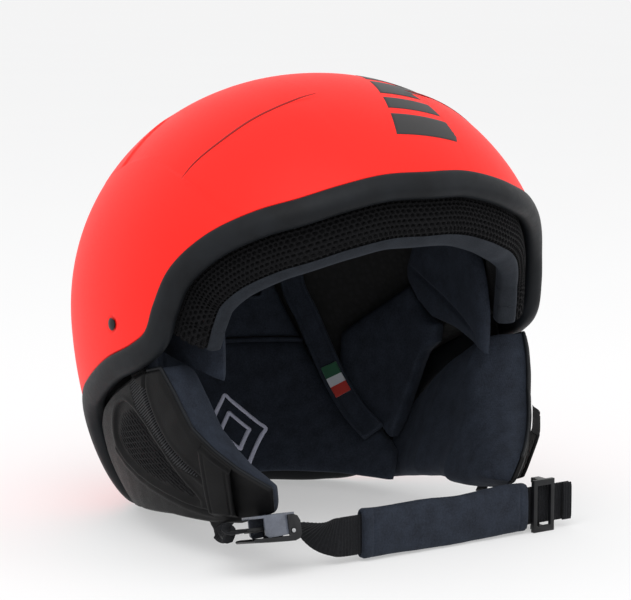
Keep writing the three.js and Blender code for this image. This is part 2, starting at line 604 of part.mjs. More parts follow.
add("strap_bar", acrossY(B.barX, B.barZ, B.barRadius, 11.1), COLOUR.steel, 0.3, 1, buckle);

// The lever: a floor with a rounded free end, two ears that turn on the pin, and a pawl below the teeth.
function buckleLever() {
  const side = [[-63.8, 24.2], [-63.8, B.leverFloor], [-86, 11.6], [-89, 11.4], [B.leverLeft, 10.4], [-89, 9.4],
    [-84, 9], [-66, 7.6], [-60, B.leverBottom], [-56.4, 8.6], [B.leverRight, 11.6], [B.leverRight, 19.6],
    [-56.8, 23], [-60, 24.4]];
  const whole = plateXZ(side, B.y - B.leverHalfWidth, B.y + B.leverHalfWidth);
  const innerHalf = B.halfWidth + 0.4;
  const room = block(-100, -50, B.y - innerHalf, B.y + innerHalf, B.leverFloor, 40);
  const pawlSide = [[-73, 10], [-68.6, 10], [-68.6, 12], [-71.2, 14.9], [-72.4, 14.9]];
  const pawl = plateXZ(pawlSide, B.y - 6.5, B.y + 6.5);
  const hole = acrossY(B.pinX, B.pinZ, B.pinRadius + PIN_PLAY, 20);
  return cut(join(cut(whole, room), pawl), hole);
}
add("buckle_lever", buckleLever(), COLOUR.plastic, 0.45, 0, buckle);
const springProfile = [[1.75, 2.4], [2.4, 2.4], [2.4, -2.4], [1.75, -2.4], [1.75, 2.4]];
const spring = turned(springProfile, 14).translate(B.pinX, B.y, B.pinZ);
add("buckle_spring", spring, COLOUR.steel, 0.4, 1, buckle);

// The chin webbing: wrapped round the strap bar, twisting upright, then straight through sleeve and adjuster.
const CHIN_WIDTH = 18.6;
const BUCKLE_WIDTH = 13; // the webbing gathers to this width between the buckle's cheeks
const TAIL_END = 103;
const WRAP = 1.75; // from the strap bar's middle to the webbing's
const TWIST_STEPS = 12;
const bar = onBuckle(B.barX, B.y, B.barZ);
const barUp = vec(0, 0, 1).applyEuler(buckle.rotation);
const roundBar = [[5, 0.8], [3, 1], [0, 1], [-0.74, 0.7], [-1, 0], [-0.74, -0.7], [0, -1], [4.5, -1]];
const chinStations = roundBar.map(([x, up]) => ({
  point: bar.clone().add(vec(x < 0 ? x * WRAP : x, 0, 0)).addScaledVector(barUp, up * WRAP),
  across: flatAcross, ownWidth: BUCKLE_WIDTH,
}));
const straight = chinStations[chinStations.length - 1].point;
const nearEdge = straight.z + BUCKLE_WIDTH / 2 * Math.sin(radians(-BUCKLE_SET.rollDegrees));
const farEdge = STRAP.middleZ + CHIN_WIDTH / 2;
for (let i = 1; i <= TWIST_STEPS; i += 1) {
  const share = i / TWIST_STEPS;
  const twist = radians(lerp(BUCKLE_SET.rollDegrees, -90, share * share * (3 - 2 * share)));
  const ownWidth = lerp(BUCKLE_WIDTH, CHIN_WIDTH, share);
  chinStations.push({
    point: vec(lerp(straight.x, STRAP.bendX, share), lerp(straight.y, STRAP.lineY, share),
      lerp(nearEdge, farEdge, share) + ownWidth / 2 * Math.sin(twist)),
    across: vec(0, Math.cos(twist), Math.sin(twist)), ownWidth,
  });
}
const turn = radians(STRAP.turnDegrees);
const tailReach = TAIL_END - STRAP.bendX;
chinStations.push({
  point: vec(STRAP.bendX + tailReach * Math.cos(turn), STRAP.lineY + tailReach * Math.sin(turn), STRAP.middleZ),
  across: vec(0, 0, -1), ownWidth: CHIN_WIDTH,
});
// What is drawn along X beyond the strap's bend, turned to the strap's own line.
const onStrapLine = (geometry) => geometry.translate(-STRAP.bendX, -STRAP.lineY, 0).rotateZ(turn)
  .translate(STRAP.bendX, STRAP.lineY, 0);
add("chin_webbing", strap(chinStations, CHIN_WIDTH, STRAP.thickness), COLOUR.webbing, 0.8);
add("webbing_tail_hem", onStrapLine(block(TAIL_END - 5, TAIL_END, STRAP.lineY - 2.7, STRAP.lineY - 1.1,
  STRAP.middleZ - CHIN_WIDTH / 2, STRAP.middleZ + CHIN_WIDTH / 2)), COLOUR.webbing, 0.8);

// The padded sleeve: a flat tube with rounded edges.
function roundedFlat(halfDepth, halfHeight, middleY, middleZ) {
  const shape = new THREE.Shape();
  const rise = halfHeight - halfDepth;
  shape.absarc(middleY, middleZ + rise, halfDepth, 0, Math.PI, false);
  shape.absarc(middleY, middleZ - rise, halfDepth, Math.PI, 2 * Math.PI, false);
  shape.closePath();
  return shape;
}
function sleeve() {
  const shape = roundedFlat(SLEEVE.depth / 2, SLEEVE.height / 2, STRAP.lineY, STRAP.middleZ);
  shape.holes.push(roundedFlat(SLEEVE.slotDepth / 2, SLEEVE.slotHeight / 2, STRAP.lineY, STRAP.middleZ));
  return onStrapLine(plateYZ(shape, SLEEVE.left, SLEEVE.right));
}
add("chin_pad", sleeve(), COLOUR.lining, 0.9);

// The ladder-lock adjuster: a ring in front of the webbing and a bar behind it, joined by two arms.
function adjuster() {
  const a = ADJUSTER;
  const frontBack = a.front + a.rail;
  const ring = block(a.left, a.right, a.front, frontBack, a.bottom, a.top);
  const opening = block(a.left + a.rail, a.right - a.rail, a.front - 5, frontBack + 5, 2.9, a.top - 2.9);
  const armLow = block(a.left + 4, a.right - 4, a.front + 0.5, a.back, a.bottom, a.bottom + 2.4);
  const armHigh = block(a.left + 4, a.right - 4, a.front + 0.5, a.back, a.top - 2.4, a.top);
  const rear = block(a.left + 4.4, a.right - 4.4, a.back - 1.8, a.back, a.bottom, a.top);
  return onStrapLine(join(cut(ring, opening), armLow, armHigh, rear));
}
add("strap_adjuster", adjuster(), COLOUR.plastic, 0.4);

// ---------------------------------------------------------------- goggle-strap clip at the rear
const rearSurface = (height, reach) => atHeight(180, height, -reach);
const clipHinge = rearSurface(CLIP.hingeHeight, CLIP.hingeReach);
const cylinderX = (radius, length, sides = 14) => new THREE.CylinderGeometry(radius, radius, length, sides)
  .rotateZ(Math.PI / 2).translate(0, clipHinge.y, clipHinge.z);
const sideShape = (pairs) => new THREE.Shape(flat(pairs));
const aboutHinge = (pairs) => sideShape(pairs.map(([y, z]) => [clipHinge.y + y, clipHinge.z + z]));

// A turned piece on the shell's normal at the snap, from a profile of [radius, reach off the surface].
function onSnapAxis(profile) {
  const foot = rearSurface(SNAP.height, 0);
  const along = rearSurface(SNAP.height + 1, 0).sub(rearSurface(SNAP.height - 1, 0)).normalize();
  const normal = along.cross(X_AXIS).normalize();
  const turn = new THREE.Quaternion().setFromUnitVectors(vec(0, 1, 0), normal);
  return turned(profile, 20).applyQuaternion(turn).translate(foot.x, foot.y, foot.z);
}

function clipTab() {
  const heights = [CLIP.hingeHeight - 4, 72, 64, 56, 49, CLIP.tabBottom];
  const edge = (reach) => heights.map((height) => rearSurface(height, reach)).map((p) => [p.y, p.z]);
  const inner = edge(CLIP.standOff);
  const outer = edge(CLIP.standOff + CLIP.thickness).reverse();
  const strip = plateYZ(sideShape([...inner, ...outer]), -CLIP.halfWidth, CLIP.halfWidth);
  const knuckleHalf = CLIP.halfWidth - 4.5;
  const knuckle = cylinderX(2.6, 2 * knuckleHalf);
  const neck = plateYZ(aboutHinge([[0.4, 0.5], [0.8, -6], [2.9, -6], [2.5, 0.5]]), -knuckleHalf, knuckleHalf);
  const r = SNAP.holeRadius;
  const hole = onSnapAxis([[0, 12], [r, 12], [r, 3], [0, 3]]);
  return cut(join(strip, neck, knuckle), cylinderX(1.45, 60), hole);
}

function clipBase() {
  const face = (reach) => (u, v) => atHeight(180 + lerp(-7, 7, u), lerp(78.5, 92, v), -reach);
  const plate = sheet(face(0.4), face(1.5), 6, 2);
  const lugSide = aboutHinge([[-4.4, -2.6], [2.4, -1.6], [2.4, 1.6], [-4.4, 5]]);
  const lugs = [[-CLIP.halfWidth, -5], [5, CLIP.halfWidth]].map(([x0, x1]) => plateYZ(lugSide, x0, x1));
  return cut(join(plate, ...lugs), cylinderX(1.2, 60));
}

add("goggle_clip_base", clipBase(), COLOUR.plastic, 0.45);
add("goggle_clip_pin", cylinderX(0.9, 2 * CLIP.halfWidth, 12), COLOUR.steel, 0.3, 1);
add("goggle_clip_tab", clipTab(), COLOUR.vinyl, 0.5);
const headTop = CLIP.standOff + CLIP.thickness - 0.4;
const studProfile = [[0, headTop], [SNAP.headRadius, headTop - 0.4], [SNAP.headRadius, headTop - 1.6],
  [1.7, headTop - 2.2], [1.7, 2], [4.8, 1.6], [5, 0.5], [0, 0.5]];
add("goggle_snap_stud", onSnapAxis(studProfile), COLOUR.plastic, 0.4);
const capFoot = CLIP.standOff + CLIP.thickness + 0.3;
const capProfile = [[0, capFoot + 2], [4, capFoot + 1.8], [SNAP.capRadius, capFoot + 0.7],
  [SNAP.capRadius, capFoot], [3.9, capFoot], [3.9, CLIP.standOff], [3.3, CLIP.standOff], [3.3, capFoot + 0.4], [0, capFoot + 0.4]];
add("goggle_snap_cap", onSnapAxis(capProfile), COLOUR.plastic, 0.4);

parts.position.set(0, MIDDLE_Y, 0);
export default parts;
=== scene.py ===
"""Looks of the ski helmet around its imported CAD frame. Lengths are millimetres until a mesh is made."""

import json
import math

import bmesh
import bpy
import numpy as np
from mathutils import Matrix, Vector


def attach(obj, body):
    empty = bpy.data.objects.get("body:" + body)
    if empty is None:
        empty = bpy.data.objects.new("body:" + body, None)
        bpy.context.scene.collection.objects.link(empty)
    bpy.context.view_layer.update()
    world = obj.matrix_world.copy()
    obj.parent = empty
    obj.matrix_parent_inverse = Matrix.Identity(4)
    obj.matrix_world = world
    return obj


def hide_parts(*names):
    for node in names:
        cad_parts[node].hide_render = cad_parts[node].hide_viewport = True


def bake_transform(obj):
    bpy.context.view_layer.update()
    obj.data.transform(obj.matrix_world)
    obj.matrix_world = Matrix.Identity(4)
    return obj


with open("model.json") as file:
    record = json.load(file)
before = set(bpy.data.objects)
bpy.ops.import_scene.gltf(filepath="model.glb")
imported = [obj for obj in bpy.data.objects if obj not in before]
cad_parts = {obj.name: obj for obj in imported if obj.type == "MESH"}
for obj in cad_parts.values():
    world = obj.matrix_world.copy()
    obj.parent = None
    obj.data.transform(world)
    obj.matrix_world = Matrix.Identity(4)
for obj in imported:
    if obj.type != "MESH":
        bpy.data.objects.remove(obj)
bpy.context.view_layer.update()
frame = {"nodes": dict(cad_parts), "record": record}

MM = 0.001
ROOT = "shell"

# ---------------------------------------------------------- the helmet's driving dimensions, as in CAD
HALF_WIDTH, REAR_LENGTH, FRONT_LENGTH = 113.0, 136.0, 128.4
RISE, DROP = 115.2, 155.5
PLAN_POWER, SIDE_POWER = 2.03, 2.08
PITCH = math.radians(9.86)
MIDDLE_Y = -16.6
CENTRE = np.array([0.0, MIDDLE_Y, 107.0])
SHELL_THICKNESS = 2.6
FOAM_OUTER, FOAM_INNER, PAD_BACK = 3.1, 24.0, 25.6
# The rim's azimuth from the front in degrees and its height.
RIM = [(0, 182), (12, 181.5), (24, 177), (34, 171.5), (44, 166), (57, 154), (66, 138), (70, 121),
       (72.5, 108.5), (78, 101), (89, 92), (101, 80), (110, 70.5), (117, 58), (122, 42), (126.5, 26),
       (134, 13), (146, 9.2), (164, 8.8), (180, 8.8)]
UP = np.array([0.0, 0.0, 1.0])


def unit(v):
    return v / np.maximum(np.linalg.norm(v, axis=-1, keepdims=True), 1e-12)


def on_shell(direction, inset=0.0):
    """The point where a ray from the shell's centre leaves the shell shrunk by an inset."""
    u = unit(np.asarray(direction, float))
    y = u[..., 1] * math.cos(PITCH) - u[..., 2] * math.sin(PITCH)
    z = u[..., 1] * math.sin(PITCH) + u[..., 2] * math.cos(PITCH)
    length = np.where(y > 0, REAR_LENGTH, FRONT_LENGTH) - inset
    rise = np.where(z > 0, RISE, DROP) - inset
    plan = np.abs(u[..., 0] / (HALF_WIDTH - inset)) ** PLAN_POWER + np.abs(y / length) ** PLAN_POWER
    side = plan ** (SIDE_POWER / PLAN_POWER) + np.abs(z / rise) ** SIDE_POWER
    return u * (side ** (-1 / SIDE_POWER))[..., None] + CENTRE


def heading(azimuth, elevation):
    a, e = np.broadcast_arrays(np.radians(azimuth), np.radians(elevation))
    return np.stack([np.sin(a) * np.cos(e), -np.cos(a) * np.cos(e), np.sin(e)], -1)


def at_height(azimuth, height, inset=0.0):
    """Points of an inset surface at an azimuth from the front and a height above the floor."""
    azimuth, height, inset = np.broadcast_arrays(
        np.asarray(azimuth, float), np.asarray(height, float), np.asarray(inset, float))
    low, high = np.full(azimuth.shape, -80.0), np.full(azimuth.shape, 80.0)
    for _ in range(28):
        middle = (low + high) / 2
        below = on_shell(heading(azimuth, middle), inset)[..., 2] < height
        low, high = np.where(below, middle, low), np.where(below, high, middle)
    return on_shell(heading(azimuth, low), inset)


def smoothstep(low, high, x):
    t = np.clip((x - low) / (high - low), 0, 1)
    return t * t * (3 - 2 * t)


def table(stations):
    """A value between given stations of (place, value)."""
    places, values = zip(*stations)
    return lambda x: np.interp(x, places, values)


# ------------------------------------------------------------------ curves
def catmull(points, per_span, closed=False):
    """A centripetal curve through points."""
    p = np.asarray(points, float)
    count = len(p)
    if closed:
        get = lambda i: p[i % count]
        spans = count
    else:
        ends = [2 * p[0] - p[1], 2 * p[-1] - p[-2]]
        get = lambda i: ends[0] if i < 0 else ends[1] if i >= count else p[i]
        spans = count - 1
    out = []
    t = np.arange(per_span)[:, None] / per_span
    for i in range(spans):
        a, b, c, d = get(i - 1), get(i), get(i + 1), get(i + 2)
        ab, bc, cd = (max(np.linalg.norm(n - m), 1e-6) ** 0.5 for m, n in ((a, b), (b, c), (c, d)))
        start = ((b - a) / ab - (c - a) / (ab + bc) + (c - b) / bc) * bc
        end = ((c - b) / bc - (d - b) / (bc + cd) + (d - c) / cd) * bc
        out.append((2 * t**3 - 3 * t**2 + 1) * b + (t**3 - 2 * t**2 + t) * start
                   + (3 * t**2 - 2 * t**3) * c + (t**3 - t**2) * end)
    if not closed:
        out.append(p[-1][None])
    return np.concatenate(out)


def resample(points, count, closed=False):
    """Evenly spaced points along a curve, and the length so far; columns past the third only ride along."""
    p = np.vstack([points, points[:1]]) if closed else points
    run = np.concatenate([[0], np.cumsum(np.linalg.norm(np.diff(p[:, :3], axis=0), axis=1))])
    places = np.linspace(0, run[-1], count, endpoint=not closed)
    return np.stack([np.interp(places, run, p[:, k]) for k in range(p.shape[1])], -1), places


def tangents(points, closed=False):
    if closed:
        return unit(np.roll(points, -1, 0) - np.roll(points, 1, 0))
    return unit(np.gradient(points, axis=0))


rim_azimuth, rim_height = (np.array(column, float) for column in zip(*RIM))
rim_half = at_height(rim_azimuth, rim_height)
rim_loop = catmull(np.vstack([rim_half, rim_half[-2:0:-1] * [-1, 1, 1]]), 60, closed=True)


def rim_frames(count):
    """Round the rim from the front: points, the ways outward and off the edge, and the length so far."""
    near, run = resample(rim_loop, count, closed=True)
    outward = unit(near - CENTRE)
    point = on_shell(outward)
    side = unit(np.cross(outward, UP))
    up = np.cross(side, outward)
    normal = unit(np.cross(on_shell(outward + 0.01 * up) - point, on_shell(outward + 0.01 * side) - point))
    off = unit(np.cross(tangents(point, closed=True), normal))
    return point, outward, off, run


# ------------------------------------------------------------------ meshes
def make_object(name, points, faces, uv=None, merge=0.0, smooth=True):
    mesh = bpy.data.meshes.new(name)
    mesh.from_pydata((np.asarray(points) * MM).tolist(), [], faces)
    if uv is not None:
        layer = mesh.uv_layers.new(name="UVMap")
        index = np.zeros(len(mesh.loops), int)
        mesh.loops.foreach_get("vertex_index", index)
        layer.data.foreach_set("uv", (np.asarray(uv, float)[index] * MM).ravel().astype(np.float32))
    work = bmesh.new()
    work.from_mesh(mesh)
    if merge:
        bmesh.ops.remove_doubles(work, verts=work.verts, dist=merge * MM)
        bmesh.ops.dissolve_degenerate(work, edges=work.edges, dist=merge * MM / 4)
    bmesh.ops.recalc_face_normals(work, faces=work.faces)
    work.to_mesh(mesh)
    work.free()
    mesh.polygons.foreach_set("use_smooth", [smooth] * len(mesh.polygons))
    made = bpy.data.objects.new(name, mesh)
    bpy.context.scene.collection.objects.link(made)
    return made


def grid_faces(rows, columns, wrap_rows=False, wrap_columns=False, start=0):
    r = np.arange(rows if wrap_rows else rows - 1)
    c = np.arange(columns if wrap_columns else columns - 1)
    r, c = (a.ravel() for a in np.meshgrid(r, c, indexing="ij"))
    r2, c2 = (r + 1) % rows, (c + 1) % columns
    corners = [r * columns + c, r * columns + c2, r2 * columns + c2, r2 * columns + c]
    return (np.stack(corners, -1) + start).tolist()


def solid_sheet(name, front, back, wrap=False, uv=None, merge=0.01):
    """A closed body between two grids of points (rows, columns, 3); a wrapped one closes over its columns."""
    rows, columns = front.shape[:2]
    size = rows * columns
    faces = grid_faces(rows, columns, False, wrap) + [
        f[::-1] for f in grid_faces(rows, columns, False, wrap, size)]
    index = np.arange(size).reshape(rows, columns)
    edges = [(index[0], wrap), (index[-1], wrap)]
    if not wrap:
        edges += [(index[:, 0], False), (index[:, -1], False)]
    for line, closes in edges:
        following = np.roll(line, -1) if closes else line[1:]
        for a, b in zip(line if closes else line[:-1], following):
            faces.append([int(a), int(b), int(b) + size, int(a) + size])
    points = np.concatenate([front.reshape(-1, 3), back.reshape(-1, 3)])
    if uv is not None:
        uv = np.concatenate([uv.reshape(-1, 2)] * 2)
    return make_object(name, points, faces, uv, merge)


def loft(name, sections, closed=False, uv=None):
    """A closed body through sections of shape (stations, points, 3)."""
    stations, size = sections.shape[:2]
    faces = grid_faces(stations, size, closed, True)
    if not closed:
        faces += [list(range(size)), [(stations - 1) * size + k for k in range(size)][::-1]]
    return make_object(name, sections.reshape(-1, 3), faces, None if uv is None else uv.reshape(-1, 2))


def smooth_outline(pairs, per_span=5):
    return catmull(pairs, per_span, closed=True)


def sections_along(point, side, face, outline):
    """Sections at each station, from one outline of [along side, along face] or one for each station."""
    outline = outline if outline.ndim == 3 else outline[None]
    return point[:, None] + outline[:, :, :1] * side[:, None] + outline[:, :, 1:] * face[:, None]


def dense(count, crowding=0.75):
    """Places from 0 to 1 that crowd towards both ends, where a cushion's edge curls."""
    t = np.linspace(0, 1, count)
    return (1 - crowding) * t + crowding * (1 - np.cos(math.pi * t)) / 2


def dome(t, power=4.0):
    return np.maximum(0, 1 - np.abs(2 * t - 1) ** power) ** (1 / power)


def waves(p, pitch, seed=0.0):
    """A smooth, repeatable unevenness between -1 and 1 over points in space."""
    k = 2 * math.pi / pitch
    x, y, z = p[..., 0], p[..., 1], p[..., 2]
    return (np.sin(k * (x + 0.37 * y) + seed) * np.cos(k * (0.83 * z - 0.41 * x) + 1.7 * seed)
            + 0.6 * np.sin(k * (1.7 * y + 0.9 * z) + 2.3 + seed)) / 1.6


def to_line(points, line):
    """Distance to a polyline, signed by its side as seen from outside, and the share of its length so far."""
    flat = points.reshape(-1, 3)
    best = np.full(len(flat), 1e9)
    sign, share = np.ones(len(flat)), np.zeros(len(flat))
    lengths = np.linalg.norm(np.diff(line, axis=0), axis=1)
    run = np.concatenate([[0], np.cumsum(lengths)])
    for i, (a, b) in enumerate(zip(line[:-1], line[1:])):
        t = np.clip((flat - a) @ (b - a) / max(lengths[i] ** 2, 1e-9), 0, 1)
        gap = flat - (a + t[:, None] * (b - a))
        distance = np.linalg.norm(gap, axis=1)
        nearer = distance < best
        across = np.cross(b - a, unit((a + b) / 2 - CENTRE))
        best = np.where(nearer, distance, best)
        sign = np.where(nearer, np.where(gap @ across >= 0, 1.0, -1.0), sign)
        share = np.where(nearer, (run[i] + t * lengths[i]) / run[-1], share)
    shape = points.shape[:-1]
    return best.reshape(shape), sign.reshape(shape), share.reshape(shape)


def surface_line(stations, inset=0.0, steps=8):
    """A smooth line on an inset surface through stations of (azimuth, height)."""
    course = catmull([(a, h, 0) for a, h in stations], steps)
    return at_height(course[:, 0], course[:, 1], inset)


def tube(name, course, radius, sides=10, closed=False, height=1.0):
    """A cord along points, with its width square to the way from the helmet's middle."""
    along = tangents(course, closed)
    outward = unit(course - CENTRE)
    side = unit(np.cross(along, outward))
    face = np.cross(side, along)
    turn = np.linspace(0, 2 * math.pi, sides, endpoint=False)
    outline = radius * np.stack([np.cos(turn), height * np.sin(turn)], -1)
    sections = sections_along(course, side, face, outline)
    if not closed:
        tips = [course[0] - along[0] * radius * 0.6, course[-1] + along[-1] * radius * 0.6]
        first = tips[0] + (sections[0] - course[0]) * 0.4
        last = tips[1] + (sections[-1] - course[-1]) * 0.4
        sections = np.concatenate([first[None], sections, last[None]])
    return loft(name, sections, closed)


def bevelled(name, node, width=0.45, segments=3):
    """A copy of a CAD node with rounded edges."""
    made = bpy.data.objects.new(name, frame["nodes"][node].data.copy())
    bpy.context.scene.collection.objects.link(made)
    made.data.materials.clear()
    work = bmesh.new()
    work.from_mesh(made.data)
    bmesh.ops.remove_doubles(work, verts=work.verts, dist=1e-6)
    bmesh.ops.dissolve_limit(work, angle_limit=math.radians(2), verts=work.verts, edges=work.edges)
    bmesh.ops.recalc_face_normals(work, faces=work.faces)
    work.to_mesh(made.data)
    work.free()
    rounding = made.modifiers.new("rounding", "BEVEL")
    rounding.width = width * MM
    rounding.segments = segments
    rounding.limit_method = "ANGLE"
    rounding.angle_limit = math.radians(24)
    rounding.harden_normals = False
    apply_modifiers(made)
    made.data.polygons.foreach_set("use_smooth", [True] * len(made.data.polygons))
    made.data.set_sharp_from_angle(angle=math.radians(35))
    return made


def apply_modifiers(piece):
    view = bpy.context.evaluated_depsgraph_get()
    view.update()
    baked = bpy.data.meshes.new_from_object(piece.evaluated_get(view), depsgraph=view)
    piece.modifiers.clear()
    old, piece.data = piece.data, baked
    bpy.data.meshes.remove(old)


# ------------------------------------------------------------------ materials
def node(tree, kind, settings=None, values=None, **inputs):
    made = tree.nodes.new("ShaderNode" + kind)
    for key, value in (settings or {}).items():
        setattr(made, key, value)
    for key, value in list(inputs.items()) + list(enumerate(values or [])):
        socket = made.inputs[key if isinstance(key, int) else key.replace("_", " ")]
        if isinstance(value, bpy.types.NodeSocket):
            tree.links.new(value, socket)
        elif value is not None:
            socket.default_value = value
    return made


def srgb(red, green, blue):
    return tuple((c / 12.92 if c <= 0.04045 else ((c + 0.055) / 1.055) ** 2.4)
                 for c in (red / 255, green / 255, blue / 255)) + (1.0,)


class Surface:
    """One material: its colour, its bump layers and its shader's plain settings."""

    def __init__(self, name, **sockets):
        self.material = bpy.data.materials.new(name)
        self.material.use_nodes = True
        self.tree = self.material.node_tree
        self.shader = self.tree.nodes["Principled BSDF"]
        self.normal = None
        for key, value in sockets.items():
            self.shader.inputs[key.replace("_", " ")].default_value = value
        self.place = node(self.tree, "TexCoord")

    def noise(self, size, detail=3.0, roughness=0.55, coordinate="Object"):
        """Noise whose features are about a size in millimetres."""
        return node(self.tree, "TexNoise", Vector=self.place.outputs[coordinate], Scale=1 / (size * MM),
                    Detail=detail, Roughness=roughness).outputs["Fac"]

    def math(self, operation, a, b=0.0):
        return node(self.tree, "Math", {"operation": operation}, [a, b]).outputs[0]

    def stretch(self, value, low, high, to_low=0.0, to_high=1.0):
        return node(self.tree, "MapRange", {"clamp": True}, [value, low, high, to_low, to_high]).outputs[0]

    def axis(self, which, coordinate="UV"):
        split = node(self.tree, "SeparateXYZ", values=[self.place.outputs[coordinate]])
        return split.outputs[which]

    def ribs(self, which, pitch, coordinate="UV"):
        """A wave from 0 to 1 along one texture axis, with its pitch in millimetres."""
        phase = self.math("MULTIPLY", self.axis(which, coordinate), 2 * math.pi / (pitch * MM))
        return self.math("MULTIPLY_ADD", self.math("SINE", phase), 0.5)

    def colour(self, first, second, share):
        mix = node(self.tree, "Mix", {"data_type": "RGBA"})
        for socket, value in ((mix.inputs[0], share), (mix.inputs[6], first), (mix.inputs[7], second)):
            if isinstance(value, bpy.types.NodeSocket):
                self.tree.links.new(value, socket)
            else:
                socket.default_value = value
        self.tree.links.new(mix.outputs[2], self.shader.inputs["Base Color"])
        return mix.outputs[2]

    def rough(self, share, low, high):
        self.tree.links.new(self.stretch(share, 0.0, 1.0, low, high), self.shader.inputs["Roughness"])

    def bump(self, height, depth, strength=1.0):
        """A bump layer whose full height is a depth in millimetres."""
        made = node(self.tree, "Bump", Strength=strength, Distance=depth * MM, Height=height)
        if self.normal:
            self.tree.links.new(self.normal, made.inputs["Normal"])
        self.normal = made.outputs["Normal"]
        self.tree.links.new(self.normal, self.shader.inputs["Normal"])


def make_paint():
    s = Surface("shell_paint", Roughness=0.5, Specular_IOR_Level=0.2)
    s.colour(srgb(253, 28, 20), srgb(253, 36, 27), s.noise(45, 2))
    s.rough(s.noise(1.6, 3), 0.46, 0.56)
    s.bump(s.noise(0.55, 2), 0.012, 0.6)
    return s.material


def make_rubber():
    s = Surface("trim_rubber", Roughness=0.5, Specular_IOR_Level=0.16)
    s.colour(srgb(14, 16, 19), srgb(23, 26, 30), s.stretch(s.noise(16, 4), 0.3, 0.7))
    s.rough(s.noise(2.5, 4), 0.42, 0.6)
    s.bump(s.noise(0.5, 3), 0.05, 0.5)
    return s.material


def make_foam():
    s = Surface("bead_foam", Roughness=0.85)
    beads = node(s.tree, "TexVoronoi", Vector=s.place.outputs["Object"], Scale=1 / (3.2 * MM))
    s.colour(srgb(20, 20, 22), srgb(11, 11, 12), s.stretch(beads.outputs["Distance"], 0.2, 0.6))
    s.bump(beads.outputs["Distance"], 0.5, 0.6)
    return s.material


def make_spacer(name="spacer_mesh", dark=(4, 4, 5), light=(27, 27, 30)):
    s = Surface(name, Roughness=0.8, Specular_IOR_Level=0.12, Sheen_Weight=0.03, Sheen_Roughness=0.4)
    threads = s.math("MULTIPLY", s.ribs("X", 0.55), s.ribs("Y", 0.45))
    s.colour(srgb(*dark), srgb(*light), s.stretch(threads, 0.1, 0.8))
    s.bump(threads, 0.12, 0.7)
    return s.material


def make_lining(name="lining_fleece", low=(25, 29, 37), high=(40, 46, 57)):
    s = Surface(name, Roughness=0.88, Specular_IOR_Level=0.2, Sheen_Weight=0.12, Sheen_Roughness=0.5)
    s.shader.inputs["Sheen Tint"].default_value = srgb(120, 130, 150)
    mottle = s.math("ADD", s.math("MULTIPLY", s.noise(0.8, 4), 0.55), s.math("MULTIPLY", s.noise(7, 3), 0.45))
    s.colour(srgb(*low), srgb(*high), s.stretch(mottle, 0.36, 0.64))
    knit = s.math("MULTIPLY", s.ribs("X", 0.9, "Object"), s.ribs("Z", 0.75, "Object"))
    s.bump(knit, 0.06, 0.5)
    s.bump(s.noise(0.45, 3), 0.12, 0.6)
    s.bump(s.noise(9, 2), 0.35, 0.35)
    return s.material


def make_vinyl():
    s = Surface("grained_vinyl", Roughness=0.48, Specular_IOR_Level=0.12)
    grain = node(s.tree, "TexVoronoi", {"feature": "DISTANCE_TO_EDGE"},
                 Vector=s.place.outputs["Object"], Scale=1 / (0.9 * MM)).outputs["Distance"]
    s.colour(srgb(9, 9, 10), srgb(19, 19, 20), s.stretch(s.noise(12, 4), 0.3, 0.7))
    s.rough(s.noise(3, 3), 0.44, 0.62)
    s.bump(s.stretch(grain, 0.0, 0.12), 0.05, 0.6)
    s.bump(s.noise(6, 3), 0.25, 0.3)
    return s.material


def make_ribbed():
    s = Surface("ribbed_textile", Roughness=0.75, Specular_IOR_Level=0.12, Sheen_Weight=0.04)
    ribs = s.ribs("X", 1.15)
    s.colour(srgb(5, 5, 5), srgb(50, 51, 54), s.stretch(ribs, 0.25, 0.9))
    s.bump(ribs, 0.5, 1.0)
    s.bump(s.ribs("Y", 0.5), 0.08, 0.5)
    return s.material


def make_webbing():
    s = Surface("strap_webbing", Roughness=0.72, Specular_IOR_Level=0.16, Sheen_Weight=0.03)
    s.colour(srgb(8, 9, 11), srgb(24, 25, 29), s.stretch(s.noise(0.7, 3), 0.3, 0.7))
    s.bump(s.ribs("X", 0.8), 0.1, 0.6)
    s.bump(s.ribs("Y", 0.9), 0.08, 0.5)
    return s.material


def make_plastic(name, low, high, roughness, coat=0.0):
    s = Surface(name, Roughness=roughness, Specular_IOR_Level=0.3, Coat_Weight=coat, Coat_Roughness=0.12)
    s.colour(srgb(*low), srgb(*high), s.stretch(s.noise(7, 4), 0.3, 0.7))
    s.rough(s.noise(1.5, 4), roughness - 0.07, roughness + 0.1)
    s.bump(s.noise(0.35, 3), 0.02, 0.5)
    return s.material


def make_steel():
    s = Surface("plain_steel", Metallic=1.0, Roughness=0.32)
    s.colour(srgb(150, 151, 153), srgb(186, 187, 189), s.noise(1.2, 4))
    s.rough(s.noise(0.6, 4), 0.25, 0.42)
    return s.material


def make_print(name, low, high, roughness=0.6):
    s = Surface(name, Roughness=roughness)
    s.colour(srgb(*low), srgb(*high), s.noise(0.8, 3))
    s.bump(s.noise(0.4, 3), 0.04, 0.5)
    return s.material


